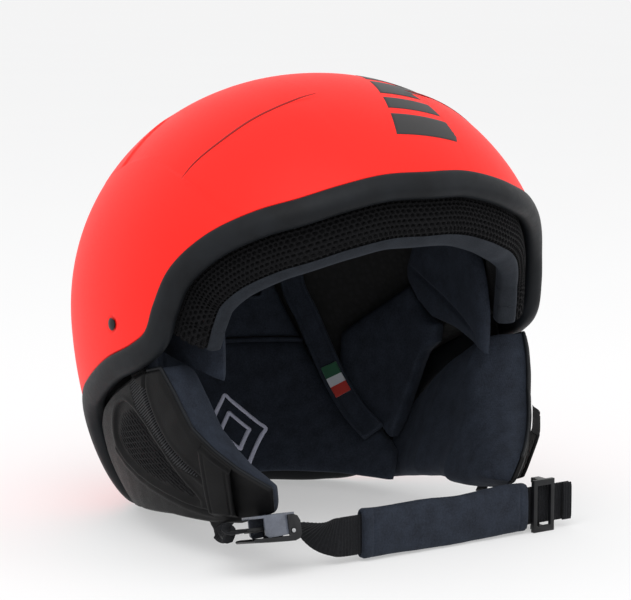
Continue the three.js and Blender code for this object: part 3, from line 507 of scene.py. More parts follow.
def make_tag():
    """A woven label in three plain bands along its length."""
    s = Surface("woven_label", Roughness=0.7, Sheen_Weight=0.3)
    place = s.axis("Y")
    ramp = node(s.tree, "ValToRGB", Fac=s.math("MULTIPLY", place, 1 / (TAG_LENGTH * MM)))
    ramp.color_ramp.interpolation = "CONSTANT"
    ramp.color_ramp.elements[0].color = srgb(8, 78, 50)
    ramp.color_ramp.elements[1].position = 0.36
    ramp.color_ramp.elements[1].color = srgb(196, 200, 208)
    ramp.color_ramp.elements.new(0.64).color = srgb(176, 34, 22)
    threads = s.math("MULTIPLY", s.ribs("X", 0.4), s.ribs("Y", 0.5))
    dark = node(s.tree, "Mix", {"data_type": "RGBA", "blend_type": "MULTIPLY"})
    s.tree.links.new(s.stretch(threads, 0.0, 1.0, 0.25, 0.0), dark.inputs[0])
    s.tree.links.new(ramp.outputs["Color"], dark.inputs[6])
    dark.inputs[7].default_value = (0.3, 0.3, 0.3, 1)
    s.tree.links.new(dark.outputs[2], s.shader.inputs["Base Color"])
    s.bump(threads, 0.1, 0.7)
    return s.material


TAG_LENGTH = 19.0
paint, rubber, foam = make_paint(), make_rubber(), make_foam()
spacer, lining, vinyl = make_spacer(), make_lining(), make_vinyl()
edging = make_lining("edging_satin", (24, 27, 32), (36, 40, 46))
ribbed, webbing = make_ribbed(), make_webbing()
black_plastic = make_plastic("black_plastic", (12, 13, 15), (22, 23, 26), 0.38)
grey_plastic = make_plastic("grey_plastic", (78, 82, 92), (98, 103, 114), 0.26, 0.4)
# Dark red painted shade for the shadow line along the pressed panel edge.
crease_shadow_paint = make_print("crease_shadow_paint", (120, 8, 6), (146, 12, 9), 0.7)
steel, print_ink = make_steel(), make_print("print_ink", (176, 178, 200), (202, 204, 222))
stripe_ink, tag_weave = make_print("stripe_ink", (16, 15, 17), (26, 25, 27), 0.5), make_tag()


def finish_piece(piece, material, body=ROOT, nodes=()):
    """Gives a piece its material and body, and hides the CAD nodes it stands for."""
    piece.data.materials.clear()
    piece.data.materials.append(material)
    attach(piece, body)
    if nodes:
        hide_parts(*nodes)
    return piece


# ------------------------------------------------------------------ the shell
FAN_COLUMNS = 720


def fan(rim_points, rows):
    """Directions from the crown to the rim, of shape (rows, columns, 3)."""
    rim = unit(rim_points - CENTRE)
    angle = np.arccos(np.clip(rim @ UP, -1, 1))[None, :, None]
    share = np.asarray(rows)[:, None, None]
    return (np.sin((1 - share) * angle) * UP + np.sin(share * angle) * rim[None]) / np.sin(angle)


# The panel edges pressed into the shell's sides, from the front: azimuth and height.
CREASE = [(28, 215), (36, 213), (46, 208.5), (54, 203), (61.5, 194), (67.5, 184.5), (70, 177)]
REAR_CREASE = [(128, 203), (122.5, 197), (115, 186), (112, 178)]


def pressed(points):
    """How far the shell stands out at points: its pressed panel edges and the dimples round its rivets."""
    mirror = np.concatenate([np.abs(points[..., :1]), points[..., 1:]], -1)
    out = np.zeros(points.shape[:-1])
    for stations, step, fade in ((CREASE, 1.1, 26.0), (REAR_CREASE, 0.5, 20.0)):
        line = surface_line(stations)
        distance, sign, share = to_line(mirror, line)
        strength = smoothstep(0.0, 0.25, share) * (1 - smoothstep(0.975, 1.0, share))
        crown_side = sign * np.where(stations is CREASE, 1.0, -1.0)
        edge = np.tanh(crown_side * distance / 0.55)
        out += step * strength * edge * np.exp(-np.maximum(distance - 0.5, 0) / fade)
    rivet = at_height(86.1, 108.5)
    gap = np.linalg.norm(mirror - rivet, axis=-1)
    return out - 0.7 * (1 - smoothstep(2.6, 4.6, gap))


def build_shell():
    rim, _, _, _ = rim_frames(FAN_COLUMNS)
    rows = np.linspace(0, 1, 216)
    directions = fan(rim, rows)
    outer = on_shell(directions)
    outer = outer + directions * pressed(outer)[..., None]
    inner = on_shell(directions, SHELL_THICKNESS)
    return finish_piece(solid_sheet("shell_paintwork", outer, inner, wrap=True), paint, nodes=["outer_shell"])


def build_crease_shadows():
    """A dark-red strip along the pressed panel edge: painted shade standing for the shadow under its step,
    tapering at both ends.
    """
    line = surface_line(CREASE, steps=24)
    course, _ = resample(line, 160)
    course = course + unit(course - CENTRE) * (pressed(course)[:, None] + 0.85)
    along = tangents(course)
    outward = unit(course - CENTRE)
    side = unit(np.cross(along, outward))
    taper = np.sqrt(np.sin(np.pi * np.linspace(0.004, 0.996, 160)))[:, None, None]
    turn = np.linspace(0, 2 * math.pi, 10, endpoint=False)
    outline = np.stack([0.6 * np.cos(turn), 0.55 * np.sin(turn)], -1)[None] * taper
    left = loft("panel_reveal_left", sections_along(course, side, outward, outline))
    right = mirror_copy(left, "painted_crease_shadow_right")
    for piece in (left, right):
        finish_piece(piece, crease_shadow_paint)


def build_foam():
    rim, _, _, _ = rim_frames(240)
    directions = fan(rim, np.linspace(0, 1, 60))
    outer, inner = on_shell(directions, FOAM_OUTER), on_shell(directions, FOAM_INNER)
    piece = solid_sheet("foam_liner", outer, inner, wrap=True)
    return finish_piece(piece, foam, nodes=["impact_liner"])


# The plain black stripes printed over the crown: front and rear corners, and the share each stripe fills.
STRIPE_CORNERS = [(-4.6, -85.0), (28.6, -85.0), (9.0, -46.0), (46.0, -46.0)]
STRIPES = [(0.0, 0.36), (0.47, 0.72), (0.83, 1.3), (1.42, 1.9)]


def build_stripes():
    corners = []
    for x, y in STRIPE_CORNERS:
        azimuth = math.degrees(math.atan2(x, -y))
        elevations = np.linspace(20, 89.5, 400)
        points = on_shell(heading(azimuth, elevations)) - [0, MIDDLE_Y, 0]
        nearest = np.argmin(np.abs(np.hypot(points[:, 0], points[:, 1]) - math.hypot(x, y)))
        corners.append(heading(azimuth, elevations[nearest]))
    u, v = np.linspace(0, 1, 24)[None, :, None], np.linspace(0, 1, 14)[:, None, None]
    for number, (start, end) in enumerate(STRIPES):
        t = start + (end - start) * v
        front_edge, rear_edge = ((1 - u) * corners[k] + u * corners[k + 1] for k in (0, 2))
        direction = (1 - t) * front_edge + t * rear_edge
        top, bottom = on_shell(direction, -0.12), on_shell(direction, 0.2)
        piece = solid_sheet(f"crown_stripe_{number + 1}", top, bottom)
        finish_piece(piece, stripe_ink)


# ------------------------------------------------------------------ trim and brow
TRIM_START = 0.4
TRIM_OUTLINE = [(0, -8.3), (0, 0.7), (1.2, 1.6), (4, 1.95), (7, 1.6), (9.8, 0.2), (11.4, -2.4), (11.4, -5),
                (9.6, -7.6)]
BROW_OUTLINE = [(1.5, -9.6), (12, -9.4), (19, -12), (23.5, -16), (24, -20), (21, -24), (12, -26.5),
                (1.5, -25)]
LINING_OUTLINE = [(24.4, -18.2), (25.4, -19.4), (26.0, -24), (23, -30), (10, -33), (-14, -35.4), (-17, -33),
                  (-15, -30.6), (8, -28.4), (21.4, -24.8), (24.5, -20.4)]
STRIP_OUTLINE = [(24.5, -17.8), (26, -19.2), (26.4, -24), (25.2, -27), (22.5, -27.5), (20, -27.5),
                 (19, -27.2), (19, -26.8), (20, -25.7), (21.4, -24.8), (24.5, -20.4)]
NARROWING = (38, 54)
HOLE_PITCH, HOLE_ROW = 3.1, 2.5


def build_trim():
    point, outward, off, _ = rim_frames(900)
    outline = smooth_outline(TRIM_OUTLINE, 5) + [TRIM_START, 0]
    sections = sections_along(point, off, outward, outline)
    return finish_piece(loft("edge_trim", sections, closed=True), rubber, nodes=["rim_trim"])


def brow_reach():
    """How far round the rim the brow pad runs on each side, as a share of the whole rim."""
    point, _, _, _ = rim_frames(60)
    azimuth = np.degrees(np.arctan2(point[:31, 0], -(point[:31, 1] - MIDDLE_Y)))
    return np.argmax(azimuth > 70.5) / 60


def brow_sections(count):
    """Places along the brow, the ways outward and off the edge, and the length so far."""
    whole = 1800
    point, outward, off, run = rim_frames(whole)
    reach = brow_reach()
    places = np.linspace(-reach, reach, count) * whole
    low = np.floor(places).astype(int)
    share = (places - low)[:, None]
    pick = lambda a: a[low % whole] * (1 - share) + a[(low + 1) % whole] * share
    length = places / whole * (run[-1] + run[1])
    return pick(point), unit(pick(outward)), unit(pick(off)), length


def perforated(s, t):
    """Depth from 0 to 1 of staggered holes over a surface, by places along and across it in millimetres."""
    row = np.floor(t / HOLE_ROW)
    a = (s / HOLE_PITCH + 0.5 * (row % 2)) % 1 - 0.5
    b = (t / HOLE_ROW) % 1 - 0.5
    return 1 - smoothstep(0.62, 1.15, np.hypot(a / 0.39, b / 0.4))


def build_brow():
    outline, across = resample(smooth_outline(BROW_OUTLINE, 12), 150, closed=True)
    point, outward, off, length = brow_sections(860)
    sections = sections_along(point, off, outward, outline)
    middle = sections.mean(1, keepdims=True)
    inward = unit(middle - sections)
    s, t = np.meshgrid(length, across, indexing="ij")
    facing = (outline[:, 0] > 9.5)[None] & (outline[:, 1] > -24.5)[None]
    depth = np.where(facing, 1.7 * perforated(s, t), 0.0)
    soft = 0.35 * waves(sections, 46)
    sections = sections + inward * (depth + soft)[..., None]
    piece = loft("brow_mesh", sections, uv=np.stack([s, t], -1))
    finish_piece(piece, spacer, nodes=["brow_pad"])
    point, outward, off, _ = brow_sections(420)
    azimuth = np.degrees(np.arctan2(np.abs(point[:, 0]), MIDDLE_Y - point[:, 1]))
    share = smoothstep(*NARROWING, azimuth)[:, None, None]
    outline = span(smooth_outline(LINING_OUTLINE, 6)[None], smooth_outline(STRIP_OUTLINE, 6)[None], share)
    sections = sections_along(point, off, outward, outline)
    sections = sections + 0.25 * waves(sections, 30)[..., None] * off[:, None]
    finish_piece(loft("brow_edging", sections), edging, nodes=["brow_lining"])


# ------------------------------------------------------------------ cushions inside
def pillow(name, place, back, swell, rows=70, columns=90, power=5.0, extra=None):
    """A pad on an inset surface: place(u, v) gives azimuth and height, swell(u, v) its thickness."""
    v, u = np.meshgrid(dense(rows), dense(columns), indexing="ij")
    azimuth, height = place(u, v)
    thickness = swell(u, v) * dome(u, power) * dome(v, power)
    wall = at_height(azimuth, height, back)
    top = at_height(azimuth, height, back + thickness)
    if extra is not None:
        inward = unit(CENTRE - top)
        top = top + inward * (extra(top, azimuth, height) * np.minimum(1, thickness / 2))[..., None]
    return solid_sheet(name, top, wall)


def seams(lines, depth=0.9, width=0.9, back=30.0):
    """Grooves along lines of (azimuth, height), as an amount that lowers a pad's surface."""
    courses = [surface_line(line, back) for line in lines]

    def lowered(points, azimuth, height):
        low = -0.25 * waves(points, 38)
        for course in courses:
            distance, _, _ = to_line(points, course)
            low = low - depth * np.exp(-(distance / width) ** 2)
        return low
    return lowered


nape_half = table([(11, 76), (24, 72), (36, 58), (45, 46), (56, 36), (75, 28)])
rear_half = table([(77.5, 27.5), (89, 24), (105, 20), (128, 18)])
side_lower = table([(97, 82), (102, 76), (104, 68), (106, 56), (108, 40), (110, 31), (112, 31), (118, 35.5),
                    (124, 40), (130, 44.5), (139, 53)])
side_upper = table([(97, 91), (101, 93), (106, 98.5), (112, 109), (117, 104), (130, 91), (139, 80)])
temple_lower = table([(58, 84), (62, 85), (67, 87), (84.5, 92), (98, 94.5), (106, 102), (112, 112.5)])
temple_upper = table([(58, 104), (62, 130), (70, 147), (84, 151), (98, 144), (106, 133), (112, 119)])


def span(low, high, share):
    return low + (high - low) * share


def between_edges(start, end, lower, upper):
    def place(u, v):
        azimuth = span(start, end, u)
        return azimuth, span(lower(azimuth), upper(azimuth), v)
    return place


def mirror_copy(piece, name):
    twin = bpy.data.objects.new(name, piece.data.copy())
    bpy.context.scene.collection.objects.link(twin)
    for vertex in twin.data.vertices:
        vertex.co.x = -vertex.co.x
    twin.data.flip_normals()
    return twin


def both_sides(stem, piece_name, build, material, nodes=True):
    """Builds a piece for the wearer's left and mirrors it for the right."""
    left = build(f"{piece_name}_left")
    right = mirror_copy(left, f"{piece_name}_right")
    for side, piece in (("left", left), ("right", right)):
        finish_piece(piece, material, nodes=[f"{stem}_{side}"] if nodes else ())
    return left, right


def rear_place(u, v):
    height = span(77.5, 128, v)
    return 180 + (2 * u - 1) * rear_half(height), height


def nape_place(u, v):
    height = span(11, 75, v)
    return 180 + (2 * u - 1) * nape_half(height), height


TEMPLE_BACK = PAD_BACK + 2.6
SLOT = {"half": 27.5, "low": 99.0, "high": 106.0}


def vent_slot(points, azimuth, height):
    """A slot through the rear pad, deep in the middle and with soft lips."""
    x = np.abs(points[..., 0]) - SLOT["half"] + 3.0
    z = np.abs(points[..., 2] - (SLOT["low"] + SLOT["high"]) / 2) - (SLOT["high"] - SLOT["low"]) / 2 + 3.0
    gap = np.hypot(np.maximum(x, 0), np.maximum(z, 0)) + np.minimum(np.maximum(x, z), 0) - 3.0
    return -0.2 * waves(points, 38) - 6.5 * (1 - smoothstep(-1.2, 0.2, gap))


def rounded_slot(half, low, high, radius, steps=8):
    """The outline of a slot with round corners in X and Z."""
    out = []
    for centre_x, centre_z, first in ((half - radius, high - radius, 0), (radius - half, high - radius, 90),
                                      (radius - half, low + radius, 180), (half - radius, low + radius, 270)):
        for angle in np.radians(np.linspace(first, first + 90, steps)):
            out.append((centre_x + radius * math.cos(angle), centre_z + radius * math.sin(angle)))
    return np.array(out)


def on_pad(x, z, inset):
    """The point of an inset surface behind the wearer's head at a sideways place and a height."""
    azimuth = 180 - np.degrees(np.arcsin(np.clip(x / 105.0, -1, 1)))
    for _ in range(12):
        point = at_height(azimuth, z, inset)
        azimuth = azimuth + (point[..., 0] - x) * 0.55
    return point


def build_rear_pads():
    piece = pillow("rear_cushion", rear_place, PAD_BACK, lambda u, v: 8.0 + 0 * u, 110, 130, extra=vent_slot)
    finish_piece(piece, lining, nodes=["rear_pad"])
    outline, _ = resample(rounded_slot(SLOT["half"], SLOT["low"], SLOT["high"], 2.6), 150, closed=True)
    course = on_pad(outline[:, 0], outline[:, 1], PAD_BACK + 7.9)
    finish_piece(tube("slot_piping", course, 0.8, closed=True), lining)
    piece = pillow("nape_cushion", nape_place, PAD_BACK, lambda u, v: 8.0 + 0 * u, 90, 150, extra=seams([]))
    finish_piece(piece, lining, nodes=["nape_pad"])
    course = at_height(180 + np.linspace(-28, 28, 90), 76.3, PAD_BACK + 6.6)
    finish_piece(tube("nape_piping", course, 1.25), lining)


# The printed sign on the nape pad: two plain nested diamonds.
EMBLEM = {"height": 32.0, "size": 17.5, "stroke": 1.15}


def build_emblem():
    for number, share in enumerate((1.0, 0.5)):
        reach = EMBLEM["size"] * share
        corner = np.array([(reach, 0), (0, reach), (-reach, 0), (0, -reach)])
        soft = [p for k in range(4) for p in (corner[k] * 0.86 + corner[k - 1] * 0.14, corner[k],
                                              corner[k] * 0.86 + corner[(k + 1) % 4] * 0.14)]
        outline, _ = resample(catmull(soft, 6, closed=True), 140, closed=True)
        course = on_pad(outline[:, 0], EMBLEM["height"] + outline[:, 1], PAD_BACK + 8.05)
        sign = tube(f"nape_sign_{number + 1}", course, EMBLEM["stroke"], 10, closed=True, height=0.35)
        finish_piece(sign, print_ink)


BAND_ROUTE = [(156.5, 126), (154.7, 105), (150.2, 89.5), (146.5, 76.5), (139, 56.5), (130, 43), (118, 34)]
BAND_INSET = 37.0
BAND_SECTION = [(-5.6, -1.6), (-6.4, 0.2), (-5.7, 1.9), (-4.4, 1.5), (-3.6, 0.7), (0, 1.0), (3.6, 0.7),
                (4.4, 1.5), (5.7, 1.9), (6.4, 0.2), (5.6, -1.6), (0, -2.0)]


def band_frames(count=140):
    route = at_height(*np.array(BAND_ROUTE, float).T, BAND_INSET)
    course, run = resample(catmull(route, 20), count)
    along = tangents(course)
    inward = unit(CENTRE - course)
    side = unit(np.cross(inward, along))
    return course, side, np.cross(along, side), run


def build_band(name):
    course, side, face, _ = band_frames()
    return loft(name, sections_along(course, side, face, smooth_outline(BAND_SECTION, 4)))


def build_tag():
    """The woven label folded over the band on the wearer's left."""
    course, side, face, run = band_frames(400)
    middle = run[np.argmin(np.abs(course[:, 2] - 57.0))]
    inside = np.abs(run - middle) < TAG_LENGTH / 2
    course, side, face, place = (a[inside] for a in (course, side, face, run))
    outline = smooth_outline([(-4.4, 1.7), (0, 1.75), (4.4, 1.7), (4.4, 1.3), (0, 1.3), (-4.4, 1.3)], 4)
    sections = sections_along(course, side, face, outline)
    uv = np.stack(np.broadcast_arrays(outline[None, :, 0] + 6, (place - place[0])[:, None]), -1)
    finish_piece(loft("woven_tag", sections, uv=uv), tag_weave)


def build_side_pads():
    both_sides("rear_band", "piped_band", build_band, lining)
    build_tag()
    place = between_edges(97, 139, side_lower, side_upper)
    both_sides("side_pad", "side_cushion",
               lambda name: pillow(name, place, PAD_BACK, lambda u, v: 8.5 + 0 * u, 60, 80, extra=seams([])),
               lining)
    place = between_edges(58, 112, temple_lower, temple_upper)
    fold = [(111, 121), (103.5, 116), (92, 109), (80, 102), (70, 97), (62, 93)]
    both_sides("temple_pad", "temple_cushion",
               lambda name: pillow(name, place, TEMPLE_BACK, lambda u, v: 8.4 + 0 * u, 80, 110, 3.4,
                                   seams([fold], 1.5, 1.2, TEMPLE_BACK + 8)),
               lining)
    azimuth, share = np.meshgrid(np.linspace(0, 360, 120, endpoint=False), np.linspace(0, 1, 40))
    top = on_shell(heading(azimuth, 90 - 34 * share), span(PAD_BACK + 1, 33.0, dome(0.5 + share / 2, 4.0)))
    wall = on_shell(heading(azimuth, 90 - 34 * share), PAD_BACK)
    finish_piece(solid_sheet("crown_cushion", top, wall, wrap=True), spacer, nodes=["crown_pad"])


# ------------------------------------------------------------------ ear pads
EAR_TIP, EAR_REAR = 40.0, 121.0
EAR_COVER, EAR_COVER_INNER, EAR_FOAM = 3.5, 5.5, 5.9
ear_top = table([(40, 38.5), (44, 42.5), (49, 47.5), (55, 55), (61, 64.5), (66, 81), (70, 91), (76, 88),
                 (83, 82), (92, 73.5), (101, 64), (108, 54), (113, 42), (117, 27), (121, 15)])
ear_bottom = table([(40, 27), (44, 23.5), (50, 19.5), (60, 17.5), (79, 16.5), (100, 12), (121, 7)])
ear_inner = table([(40, 22), (48, 28), (60, 33), (88, 34), (98, 30), (106, 24.5), (121, 20)])
LENS_EDGE = [(61.8, 27.4), (68.6, 42.5), (75.9, 59.2), (81.2, 68.4), (85.5, 71.5), (90, 68), (94.5, 58),
             (96.6, 48), (93, 41), (86.8, 36), (75, 31)]
TEXTILE_EDGE = [(82.5, 85), (75.3, 80), (72.6, 64), (68.4, 52.5), (59.8, 40.5), (68.0, 45), (75.4, 61.5),
                (80.6, 71)]
EAR_SEAM = [(75.3, 91.5), (75.3, 78.7), (71.6, 61.4), (67.4, 51.3), (59, 40.2)]
EAR_LOW_SEAM = [(98, 44), (93, 38), (86.8, 33.5), (75, 28.5), (66, 25.5), (58.5, 24)]


def inside_outline(azimuth, height, outline):
    """Whether places lie inside an outline of (azimuth, height)."""
    inside = np.zeros(azimuth.shape, bool)
    for (a0, h0), (a1, h1) in zip(outline, outline[1:] + outline[:1]):
        crosses = (h0 > height) != (h1 > height)
        at = a0 + (height - h0) * (a1 - a0) / (h1 - h0 if h1 != h0 else 1e-9)
        inside ^= crosses & (azimuth < at)
    return inside


def soft_outline(stations, per_span=5):
    return [tuple(p) for p in catmull(stations, per_span, closed=True)]


def ear_grid(rows, columns):
    v, u = np.meshgrid(dense(rows, 0.5), dense(columns, 0.3), indexing="ij")
    azimuth = span(EAR_TIP, EAR_REAR, u)
    height = span(ear_bottom(azimuth), ear_top(azimuth), v)
    return u, v, azimuth, height


def build_ear_cover(name):
    """The outer skin: smooth panels with seams, a sunk field for the mesh and a ribbed textile field."""
    u, v, azimuth, height = ear_grid(150, 300)
    outer = at_height(azimuth, height, EAR_COVER)
    outward = unit(outer - CENTRE)
    tall = np.minimum(v, 1 - v) * (ear_top(azimuth) - ear_bottom(azimuth))
    edge = np.minimum(tall, np.minimum(u, 1 - u) * 150)
    raised = 0.5 * smoothstep(0.0, 7.0, edge) - 1.3 * (1 - smoothstep(0.0, 1.6, edge))
    lens = soft_outline(LENS_EDGE)
    border, _, _ = to_line(outer, at_height(*np.array(lens + lens[:1]).T, EAR_COVER))
    signed = np.where(inside_outline(azimuth, height, lens), -border, border)
    raised = raised - 1.5 * (1 - smoothstep(-0.9, 0.5, signed)) + 0.35 * np.exp(-((signed - 1.6) / 1.1) ** 2)
    for seam, depth in ((EAR_SEAM, 1.0), (EAR_LOW_SEAM, 0.7)):
        distance, _, _ = to_line(outer, surface_line(seam, EAR_COVER))
        raised = raised - depth * np.exp(-(distance / 0.75) ** 2)
        raised = raised + 0.35 * np.exp(-((distance - 2.2) / 1.3) ** 2)
    textile = inside_outline(azimuth, height, TEXTILE_EDGE)
    raised = raised + 0.16 * waves(outer, 21) - np.where(textile, 0.25, 0.0)
    inner = at_height(azimuth, height, EAR_COVER_INNER)
    y, z = outer[..., 1], outer[..., 2]
    uv = np.stack([z * 0.83 + y * 0.56, y * 0.83 - z * 0.56], -1)
    return solid_sheet(name, outer + outward * raised[..., None], inner, uv=uv)


def paint_textile(piece):
    """Gives the ribbed field of an ear cover its own material."""
    piece.data.materials.append(ribbed)
    sign = 1 if piece.name.endswith("left") else -1
    for polygon in piece.data.polygons:
        x, y, z = polygon.center / MM
        azimuth = math.degrees(math.atan2(sign * x, -(y - MIDDLE_Y)))
        if inside_outline(np.array(azimuth), np.array(z), TEXTILE_EDGE):
            polygon.material_index = 1


def build_ear_foam(name):
    u, v, azimuth, height = ear_grid(90, 140)
    belly = dome(v, 4.2) * (0.5 + 0.5 * dome(u, 5.0))
    inset = EAR_FOAM + 2.2 * dome(v, 3.0) + (ear_inner(azimuth) - EAR_FOAM - 2.2) * belly
    wall = at_height(azimuth, height, EAR_FOAM)
    top = at_height(azimuth, height, inset)
    soft = 0.45 * waves(top, 52) + 0.2 * waves(top, 23, 1.1)
    top = top + unit(CENTRE - top) * (soft * np.minimum(1, belly * 2))[..., None]
    return solid_sheet(name, top, wall)


def build_lens(name):
    """The perforated insert, crossed by slanting rows of oblong holes."""
    outline = np.array(soft_outline(LENS_EDGE, 38))
    middle = np.array([80.5, 49.0])
    ring = np.linspace(0.02, 1, 140)[:, None, None]
    place = middle + (outline - middle)[None] * ring
    front = at_height(place[..., 0], place[..., 1], EAR_COVER + 0.5 + 1.2 * ring[..., 0] ** 6)
    back = at_height(place[..., 0], place[..., 1], EAR_COVER_INNER + 0.3)
    s = front[..., 1] * 0.8 + front[..., 2] * 0.6
    t = front[..., 2] * 0.8 - front[..., 1] * 0.6
    depth = 1.5 * oblong_holes(s, t) * (1 - smoothstep(0.93, 0.97, ring[..., 0]))
    front = front - unit(front - CENTRE) * depth[..., None]
    return solid_sheet(name, front, back, wrap=True, uv=np.stack([s, t], -1))


def oblong_holes(s, t):
    row = np.floor(t / 2.1)
    a = (s / 3.6 + 0.5 * (row % 2)) % 1 - 0.5
    b = (t / 2.1) % 1 - 0.5
    return 1 - smoothstep(0.6, 1.1, np.hypot(a / 0.42, b / 0.3))


KEEPER = {"rear": 57.8, "front": 50.0}


def build_keeper(name):
    """The vinyl loop sewn over the lower front of the ear pad."""
    v, u = np.meshgrid(np.linspace(0, 1, 60), np.linspace(0, 1, 34), indexing="ij")
    azimuth = span(KEEPER["front"], KEEPER["rear"], u)
    height = span(ear_bottom(azimuth) + 3.6, ear_top(azimuth) - 0.8, v)
    ends = smoothstep(0.0, 0.09, v) * smoothstep(1.0, 0.91, v)
    hem = np.minimum(u, 1 - u) * 12.5
    raised = 0.25 * dome(u, 6) - 0.45 * np.exp(-((hem - 1.7) / 0.35) ** 2) + 0.12 * np.sin(v * 9) * dome(u, 4)
    outer_inset = span(3.0, -0.9, ends) - raised * ends
    front = at_height(azimuth, height, outer_inset)
    back = at_height(azimuth, height, np.maximum(span(3.2, 0.6, ends), outer_inset + 0.15))
    return solid_sheet(name, front, back)


def build_ear_pads():
    covers = both_sides("ear_cover", "ear_skin", build_ear_cover, vinyl)
    for piece in covers:
        paint_textile(piece)
    both_sides("ear_pad", "ear_cushion", build_ear_foam, lining)
    both_sides("ear_mesh", "ear_vent", build_lens, spacer)
    both_sides("strap_keeper", "keeper_loop", build_keeper, vinyl)
    azimuth = np.linspace(40.4, 75.0, 150)
    course = at_height(azimuth, ear_top(azimuth) + 0.2, 5.2)
    both_sides("ear_cover", "ear_piping", lambda name: tube(name, course, 0.95), rubber, nodes=False)


# ------------------------------------------------------------------ straps
def strap_mesh(name, stations, width, thickness, pitch=1.7, step=0.34, rib=0.3):
    """Webbing through stations of (point, way across) and perhaps a width, with crosswise ribs."""
    points = np.array([row[0] for row in stations], float)
    across = unit(np.array([row[1] for row in stations], float))
    widths = np.array([row[2] if len(row) > 2 else width for row in stations], float)[:, None]
    fine = catmull(np.hstack([points, across * 10, widths]), 24)
    length = np.linalg.norm(np.diff(fine[:, :3], axis=0), axis=1).sum()
    both, run = resample(fine, int(length / step))
    course, across, widths = both[:, :3], both[:, 3:6], both[:, 6]
    along = tangents(course)
    side = unit(across - (across * along).sum(1, keepdims=True) * along)
    face = np.cross(along, side)
    turn = np.linspace(0, 2 * math.pi, 40, endpoint=False)
    power = 0.35
    x = np.sign(np.cos(turn)) * np.abs(np.cos(turn)) ** power / 2
    y = np.sign(np.sin(turn)) * np.abs(np.sin(turn)) ** power * thickness / 2
    swell = 1 + rib * np.cos(2 * math.pi * run / pitch)[:, None]
    x = x * widths[:, None]
    thin = np.where(np.abs(x[0]) > widths[0] / 2 - 1.1, 0.85, 1.0)
    sections = (course[:, None] + x[:, :, None] * side[:, None]
                + (y * thin)[None, :, None] * swell[..., None] * face[:, None])
    uv = np.stack(np.broadcast_arrays(x + width, run[:, None]), -1)
    return loft(name, sections, uv=uv)


STRAP_INSET = 10.4
SIDE_WIDTH, CHIN_WIDTH, STRAP_THICKNESS = 13.6, 18.6, 1.5
HIDDEN_ROUTE = [(86.1, 115), (86.1, 108.5), (85.5, 99), (84, 88), (80.5, 72), (75, 55), (69, 40), (63, 26),
                (60, 14.5)]
BEND_X, STRAP_LINE_Y, MIDDLE_Z = -36.0, -86.0, 13.0
TURN = math.radians(4)
# The buckle as drawn, about its pin, and its size, roll and place on the helmet.
PIN = np.array([-61.0, -86.0, 13.9])
BUCKLE_SIZE, ROLL = 0.72, math.radians(-14)
BUCKLE_PLACE = np.array([-64.5, -84.0, 19.0])


def rolled(v):
    x, y, z = v
    return np.array([x, y * math.cos(ROLL) - z * math.sin(ROLL), y * math.sin(ROLL) + z * math.cos(ROLL)])


def on_buckle(x, y, z):
    return rolled((np.array([x, y, z]) - PIN) * BUCKLE_SIZE) + BUCKLE_PLACE


def on_strap_line(points):
    """What is drawn along X beyond the strap's bend, turned to the strap's own line; in the row's frame."""
    p = points - [BEND_X, STRAP_LINE_Y, 0]
    x, y = p[..., 0], p[..., 1]
    turned = np.stack([x * math.cos(TURN) - y * math.sin(TURN),
                       x * math.sin(TURN) + y * math.cos(TURN), p[..., 2]], -1)
    return turned + [BEND_X, STRAP_LINE_Y + MIDDLE_Y, 0]


FLAT = rolled((0, 1, 0))
TONGUE_START = on_buckle(-91, -86, 17.5)
RIGHT_FRONT = [((-79.5, -55, 14), (0.3, 0.6, 0.5), 9), ((-83.5, -62, 17), (0.5, 0.7, 0.3), 7.5),
               ((-87.5, -70, 19.5), (0.6, 0.75, 0.1), 7), ((-90.5, -77, 21), (0.7, 0.7, 0), 8),
               (TONGUE_START + [-6.5, 0, -0.3], FLAT, 10), (TONGUE_START + [-0.3, 0, 0], FLAT, 10)]
LEFT_FRONT = [((81.5, -54.5, 10), (0.2, -0.5, -0.8)), ((86, -59.5, 9.5), (0.2, -0.4, -0.8)),
              ((89.6, -65, 10.5), (0.1, -0.2, -0.9)), ((90.8, -69.4, 12.4), (0, 0, -1)),
              ((88.4, -71.9, 13), (0, 0, -1)), ((82, -72.5, 13), (0, 0, -1))]
BUCKLE_WIDTH, WRAP, TWIST_STEPS, TAIL_END = 13.0, 1.75, 12, 103.0
ROUND_BAR = [(5, 0.8), (3, 1), (0, 1), (-0.74, 0.7), (-1, 0), (-0.74, -0.7), (0, -1), (4.5, -1)]


def chin_stations():
    """The chin webbing's points, way across and width: round the bar, a quarter twist, then straight."""
    bar = on_buckle(-61.8, -86, 20)
    bar_up = rolled((0, 0, 1))
    out = [(bar + [x * WRAP if x < 0 else x, 0, 0] + bar_up * up * WRAP, FLAT, BUCKLE_WIDTH)
           for x, up in ROUND_BAR]
    start = out[-1][0]
    near_edge = start[2] + BUCKLE_WIDTH / 2 * math.sin(-ROLL)
    far_edge = MIDDLE_Z + CHIN_WIDTH / 2
    for share in np.arange(1, TWIST_STEPS + 1) / TWIST_STEPS:
        twist = span(ROLL, -math.pi / 2, smoothstep(0, 1, share))
        width = span(BUCKLE_WIDTH, CHIN_WIDTH, share)
        place = [span(start[0], BEND_X, share), span(start[1], STRAP_LINE_Y, share),
                 span(near_edge, far_edge, share) + width / 2 * math.sin(twist)]
        out.append((np.array(place), np.array([0, math.cos(twist), math.sin(twist)]), width))
    reach = TAIL_END - BEND_X
    for share in (0.3, 1.0):
        place = [BEND_X + share * reach * math.cos(TURN),
                 STRAP_LINE_Y + share * reach * math.sin(TURN), MIDDLE_Z]
        out.append((np.array(place), np.array([0, 0, -1.0]), CHIN_WIDTH))
    return out


def moved(stations):
    return [(np.array(row[0]) + [0, MIDDLE_Y, 0], *row[1:]) for row in stations]


def hidden_stations():
    route = at_height(*np.array(HIDDEN_ROUTE, float).T, STRAP_INSET)
    across = np.cross(unit(route - CENTRE), tangents(route))
    return list(zip(route, across))


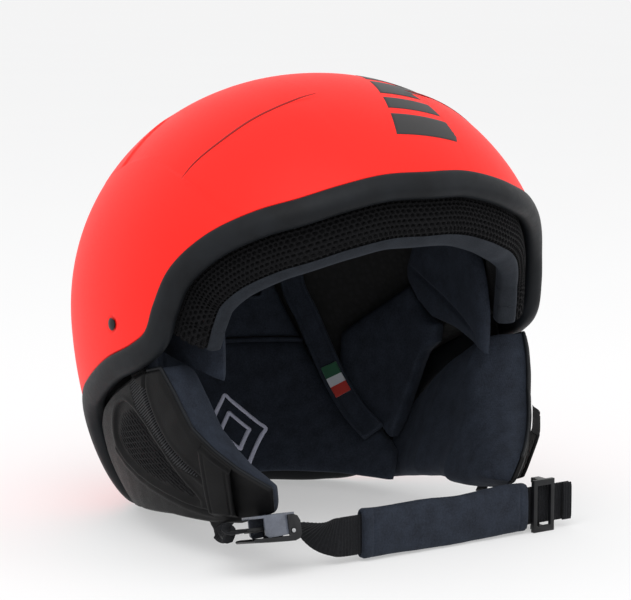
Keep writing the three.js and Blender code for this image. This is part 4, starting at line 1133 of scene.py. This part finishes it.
def build_straps():
    right = [(p * [-1, 1, 1], a * [1, -1, -1]) for p, a in hidden_stations()] + moved(RIGHT_FRONT)
    piece = strap_mesh("webbing_right", right, SIDE_WIDTH, STRAP_THICKNESS)
    finish_piece(piece, webbing, nodes=["strap_right"])
    left = strap_mesh("webbing_left", hidden_stations(), SIDE_WIDTH, STRAP_THICKNESS, step=1.0)
    finish_piece(left, webbing, nodes=["strap_left"])
    drop = strap_mesh("webbing_left_drop", moved(LEFT_FRONT), SIDE_WIDTH, STRAP_THICKNESS)
    drop.data.materials.append(webbing)
    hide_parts("strap_left_drop")
    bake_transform(drop)
    piece = strap_mesh("webbing_chin", moved(chin_stations()), CHIN_WIDTH, STRAP_THICKNESS)
    finish_piece(piece, webbing, "chin_strap", ["chin_webbing"])
    ends = on_strap_line(np.array([(x, -1.9, MIDDLE_Z) for x in (TAIL_END - 5, TAIL_END - 2.5, TAIL_END)])
                         + [0, STRAP_LINE_Y, 0])
    hem = [(point, UP) for point in ends]
    finish_piece(strap_mesh("webbing_hem", hem, CHIN_WIDTH, 1.6), webbing, "chin_strap", ["webbing_tail_hem"])


SLEEVE = {"left": -24.0, "right": 75.5, "height": 25.0, "depth": 8.0, "slot_height": 21.0, "slot_depth": 2.8}


def build_sleeve():
    """The padded tube round the chin webbing, a little wavy, with a sewn hem at each end."""
    around, steps = 72, 150
    turn = np.linspace(0, 2 * math.pi, around, endpoint=False)

    def ring(x, half_depth, half_height, middle_z):
        power = 0.62
        y = np.sign(np.cos(turn)) * np.abs(np.cos(turn)) ** power * half_depth
        z = np.sign(np.sin(turn)) * np.abs(np.sin(turn)) ** power * half_height
        return np.stack([np.full(around, x), STRAP_LINE_Y + y, middle_z + z], -1)

    rows = []
    for t in dense(steps, 0.35):
        x = span(SLEEVE["left"] + 0.6, SLEEVE["right"] - 0.6, t)
        lip = smoothstep(0, 0.012, t) * smoothstep(1, 0.988, t)
        hem = np.exp(-((min(t, 1 - t) * 96 - 5.0) / 0.8) ** 2)
        pinch = 0.35 * math.sin(t * 19) + 0.25 * math.sin(t * 41 + 1)
        low = 0.5 + 0.35 * (1 + math.sin(t * 7.5 + 0.6))
        sag = 0.45 * (1 - math.cos(2 * math.pi * t)) + 0.45 * (1 + math.sin(t * 13))
        high = SLEEVE["height"] + 0.4 - sag
        half_depth = SLEEVE["depth"] / 2 * (0.86 + 0.14 * lip) - 0.55 * hem + 0.18 * pinch
        rows.append(ring(x, half_depth, (high - low) / 2 - 0.5 * (1 - lip), (high + low) / 2))
    outer = np.array(rows)
    inner = np.array([ring(x, SLEEVE["slot_depth"] / 2, SLEEVE["slot_height"] / 2, 13.0)
                      for x in np.linspace(SLEEVE["right"], SLEEVE["left"], 12)])
    creases = 0.22 * waves(outer, 14, 0.4) + 0.3 * waves(outer, 33)
    outer[..., 1] += creases * np.sign(outer[..., 1] - STRAP_LINE_Y)
    piece = loft("chin_sleeve_pad", on_strap_line(np.concatenate([outer, inner])), closed=True)
    finish_piece(piece, lining, "chin_sleeve", ["chin_pad"])


# ------------------------------------------------------------------ hard fittings
def build_fittings():
    rows = [
        ("ratchet_lever", "buckle_lever", black_plastic, "lever", 0.55),
        ("ratchet_frame", "buckle_frame", grey_plastic, "chin_strap", 0.45),
        ("ratchet_tongue", "buckle_tongue", black_plastic, ROOT, 0.22),
        ("ladder_adjuster", "strap_adjuster", black_plastic, "adjuster", 0.5),
        ("clip_foot", "goggle_clip_base", black_plastic, ROOT, 0.3),
        ("clip_flap", "goggle_clip_tab", vinyl, "goggle_flap", 0.4),
        ("clip_stud", "goggle_snap_stud", black_plastic, ROOT, 0.2),
        ("clip_cap", "goggle_snap_cap", black_plastic, "goggle_flap", 0.2),
        ("rivet_left", "strap_rivet_left", black_plastic, ROOT, 0.2),
        ("rivet_right", "strap_rivet_right", black_plastic, ROOT, 0.2),
    ]
    for name, cad_node, material, body, width in rows:
        finish_piece(bevelled(name, cad_node, width), material, body, [cad_node])
    for cad_node in ("buckle_pin", "strap_bar", "buckle_spring", "goggle_clip_pin"):
        body = next(b for b, members in frame["record"]["behaviour"]["bodies"].items() if cad_node in members)
        finish_piece(bevelled(cad_node + "_turned", cad_node, 0.15), steel, body, [cad_node])


# ------------------------------------------------------------------ stage
def aim(thing, target):
    thing.rotation_euler = (Vector(target) - thing.location).to_track_quat("-Z", "Y").to_euler()


FLOOR_REACH, FLOOR_TOP = 80000.0, -0.2
# Each light's name, place in metres, size and power.
LIGHTS = [("key", (-0.7, -0.9, 1.5), 1.4, 13), ("fill", (1.5, -1.2, 0.9), 1.2, 3)]
CAMERA_PLACE, CAMERA_TARGET = (-609.1, -1018.6 + MIDDLE_Y, 277.6), (2.9, MIDDLE_Y, 110.6)
LENS_LENGTH, SENSOR = 138.3, 36


def build_floor():
    corners = [(x * FLOOR_REACH, y * FLOOR_REACH, FLOOR_TOP) for x, y in ((-1, -1), (1, -1), (1, 1), (-1, 1))]
    floor = make_object("floor", corners, [[0, 1, 2, 3]], smooth=False)
    s = Surface("studio_floor", Roughness=0.9, Specular_IOR_Level=0.0, Emission_Color=(1, 1, 1, 1),
                Emission_Strength=0.4)
    s.colour((0.5, 0.5, 0.503, 1), (0.51, 0.51, 0.513, 1), s.noise(400, 2))
    floor.data.materials.append(s.material)


def build_stage():
    build_floor()
    scene = bpy.context.scene
    scene.view_settings.view_transform = "Standard"
    world = bpy.data.worlds.new("studio")
    world.use_nodes = True
    sky = world.node_tree.nodes["Background"]
    sky.inputs["Color"].default_value = (1.0, 1.0, 1.0, 1)
    sky.inputs["Strength"].default_value = 1.0
    scene.world = world
    for name, place, size, power in LIGHTS:
        light = bpy.data.objects.new(name, bpy.data.lights.new(name, "AREA"))
        light.data.size = size
        light.data.energy = power
        light.location = place
        aim(light, (0, 0, 0.1))
        scene.collection.objects.link(light)
    camera = bpy.data.objects.new("camera", bpy.data.cameras.new("camera"))
    camera.data.sensor_width = SENSOR
    camera.data.lens = LENS_LENGTH
    camera.location = Vector(CAMERA_PLACE) * MM
    aim(camera, Vector(CAMERA_TARGET) * MM)
    scene.collection.objects.link(camera)
    scene.camera = camera


build_shell()
build_crease_shadows()
build_foam()
build_stripes()
build_trim()
build_brow()
build_rear_pads()
build_emblem()
build_side_pads()
build_ear_pads()
build_straps()
build_sleeve()
build_fittings()
build_stage()
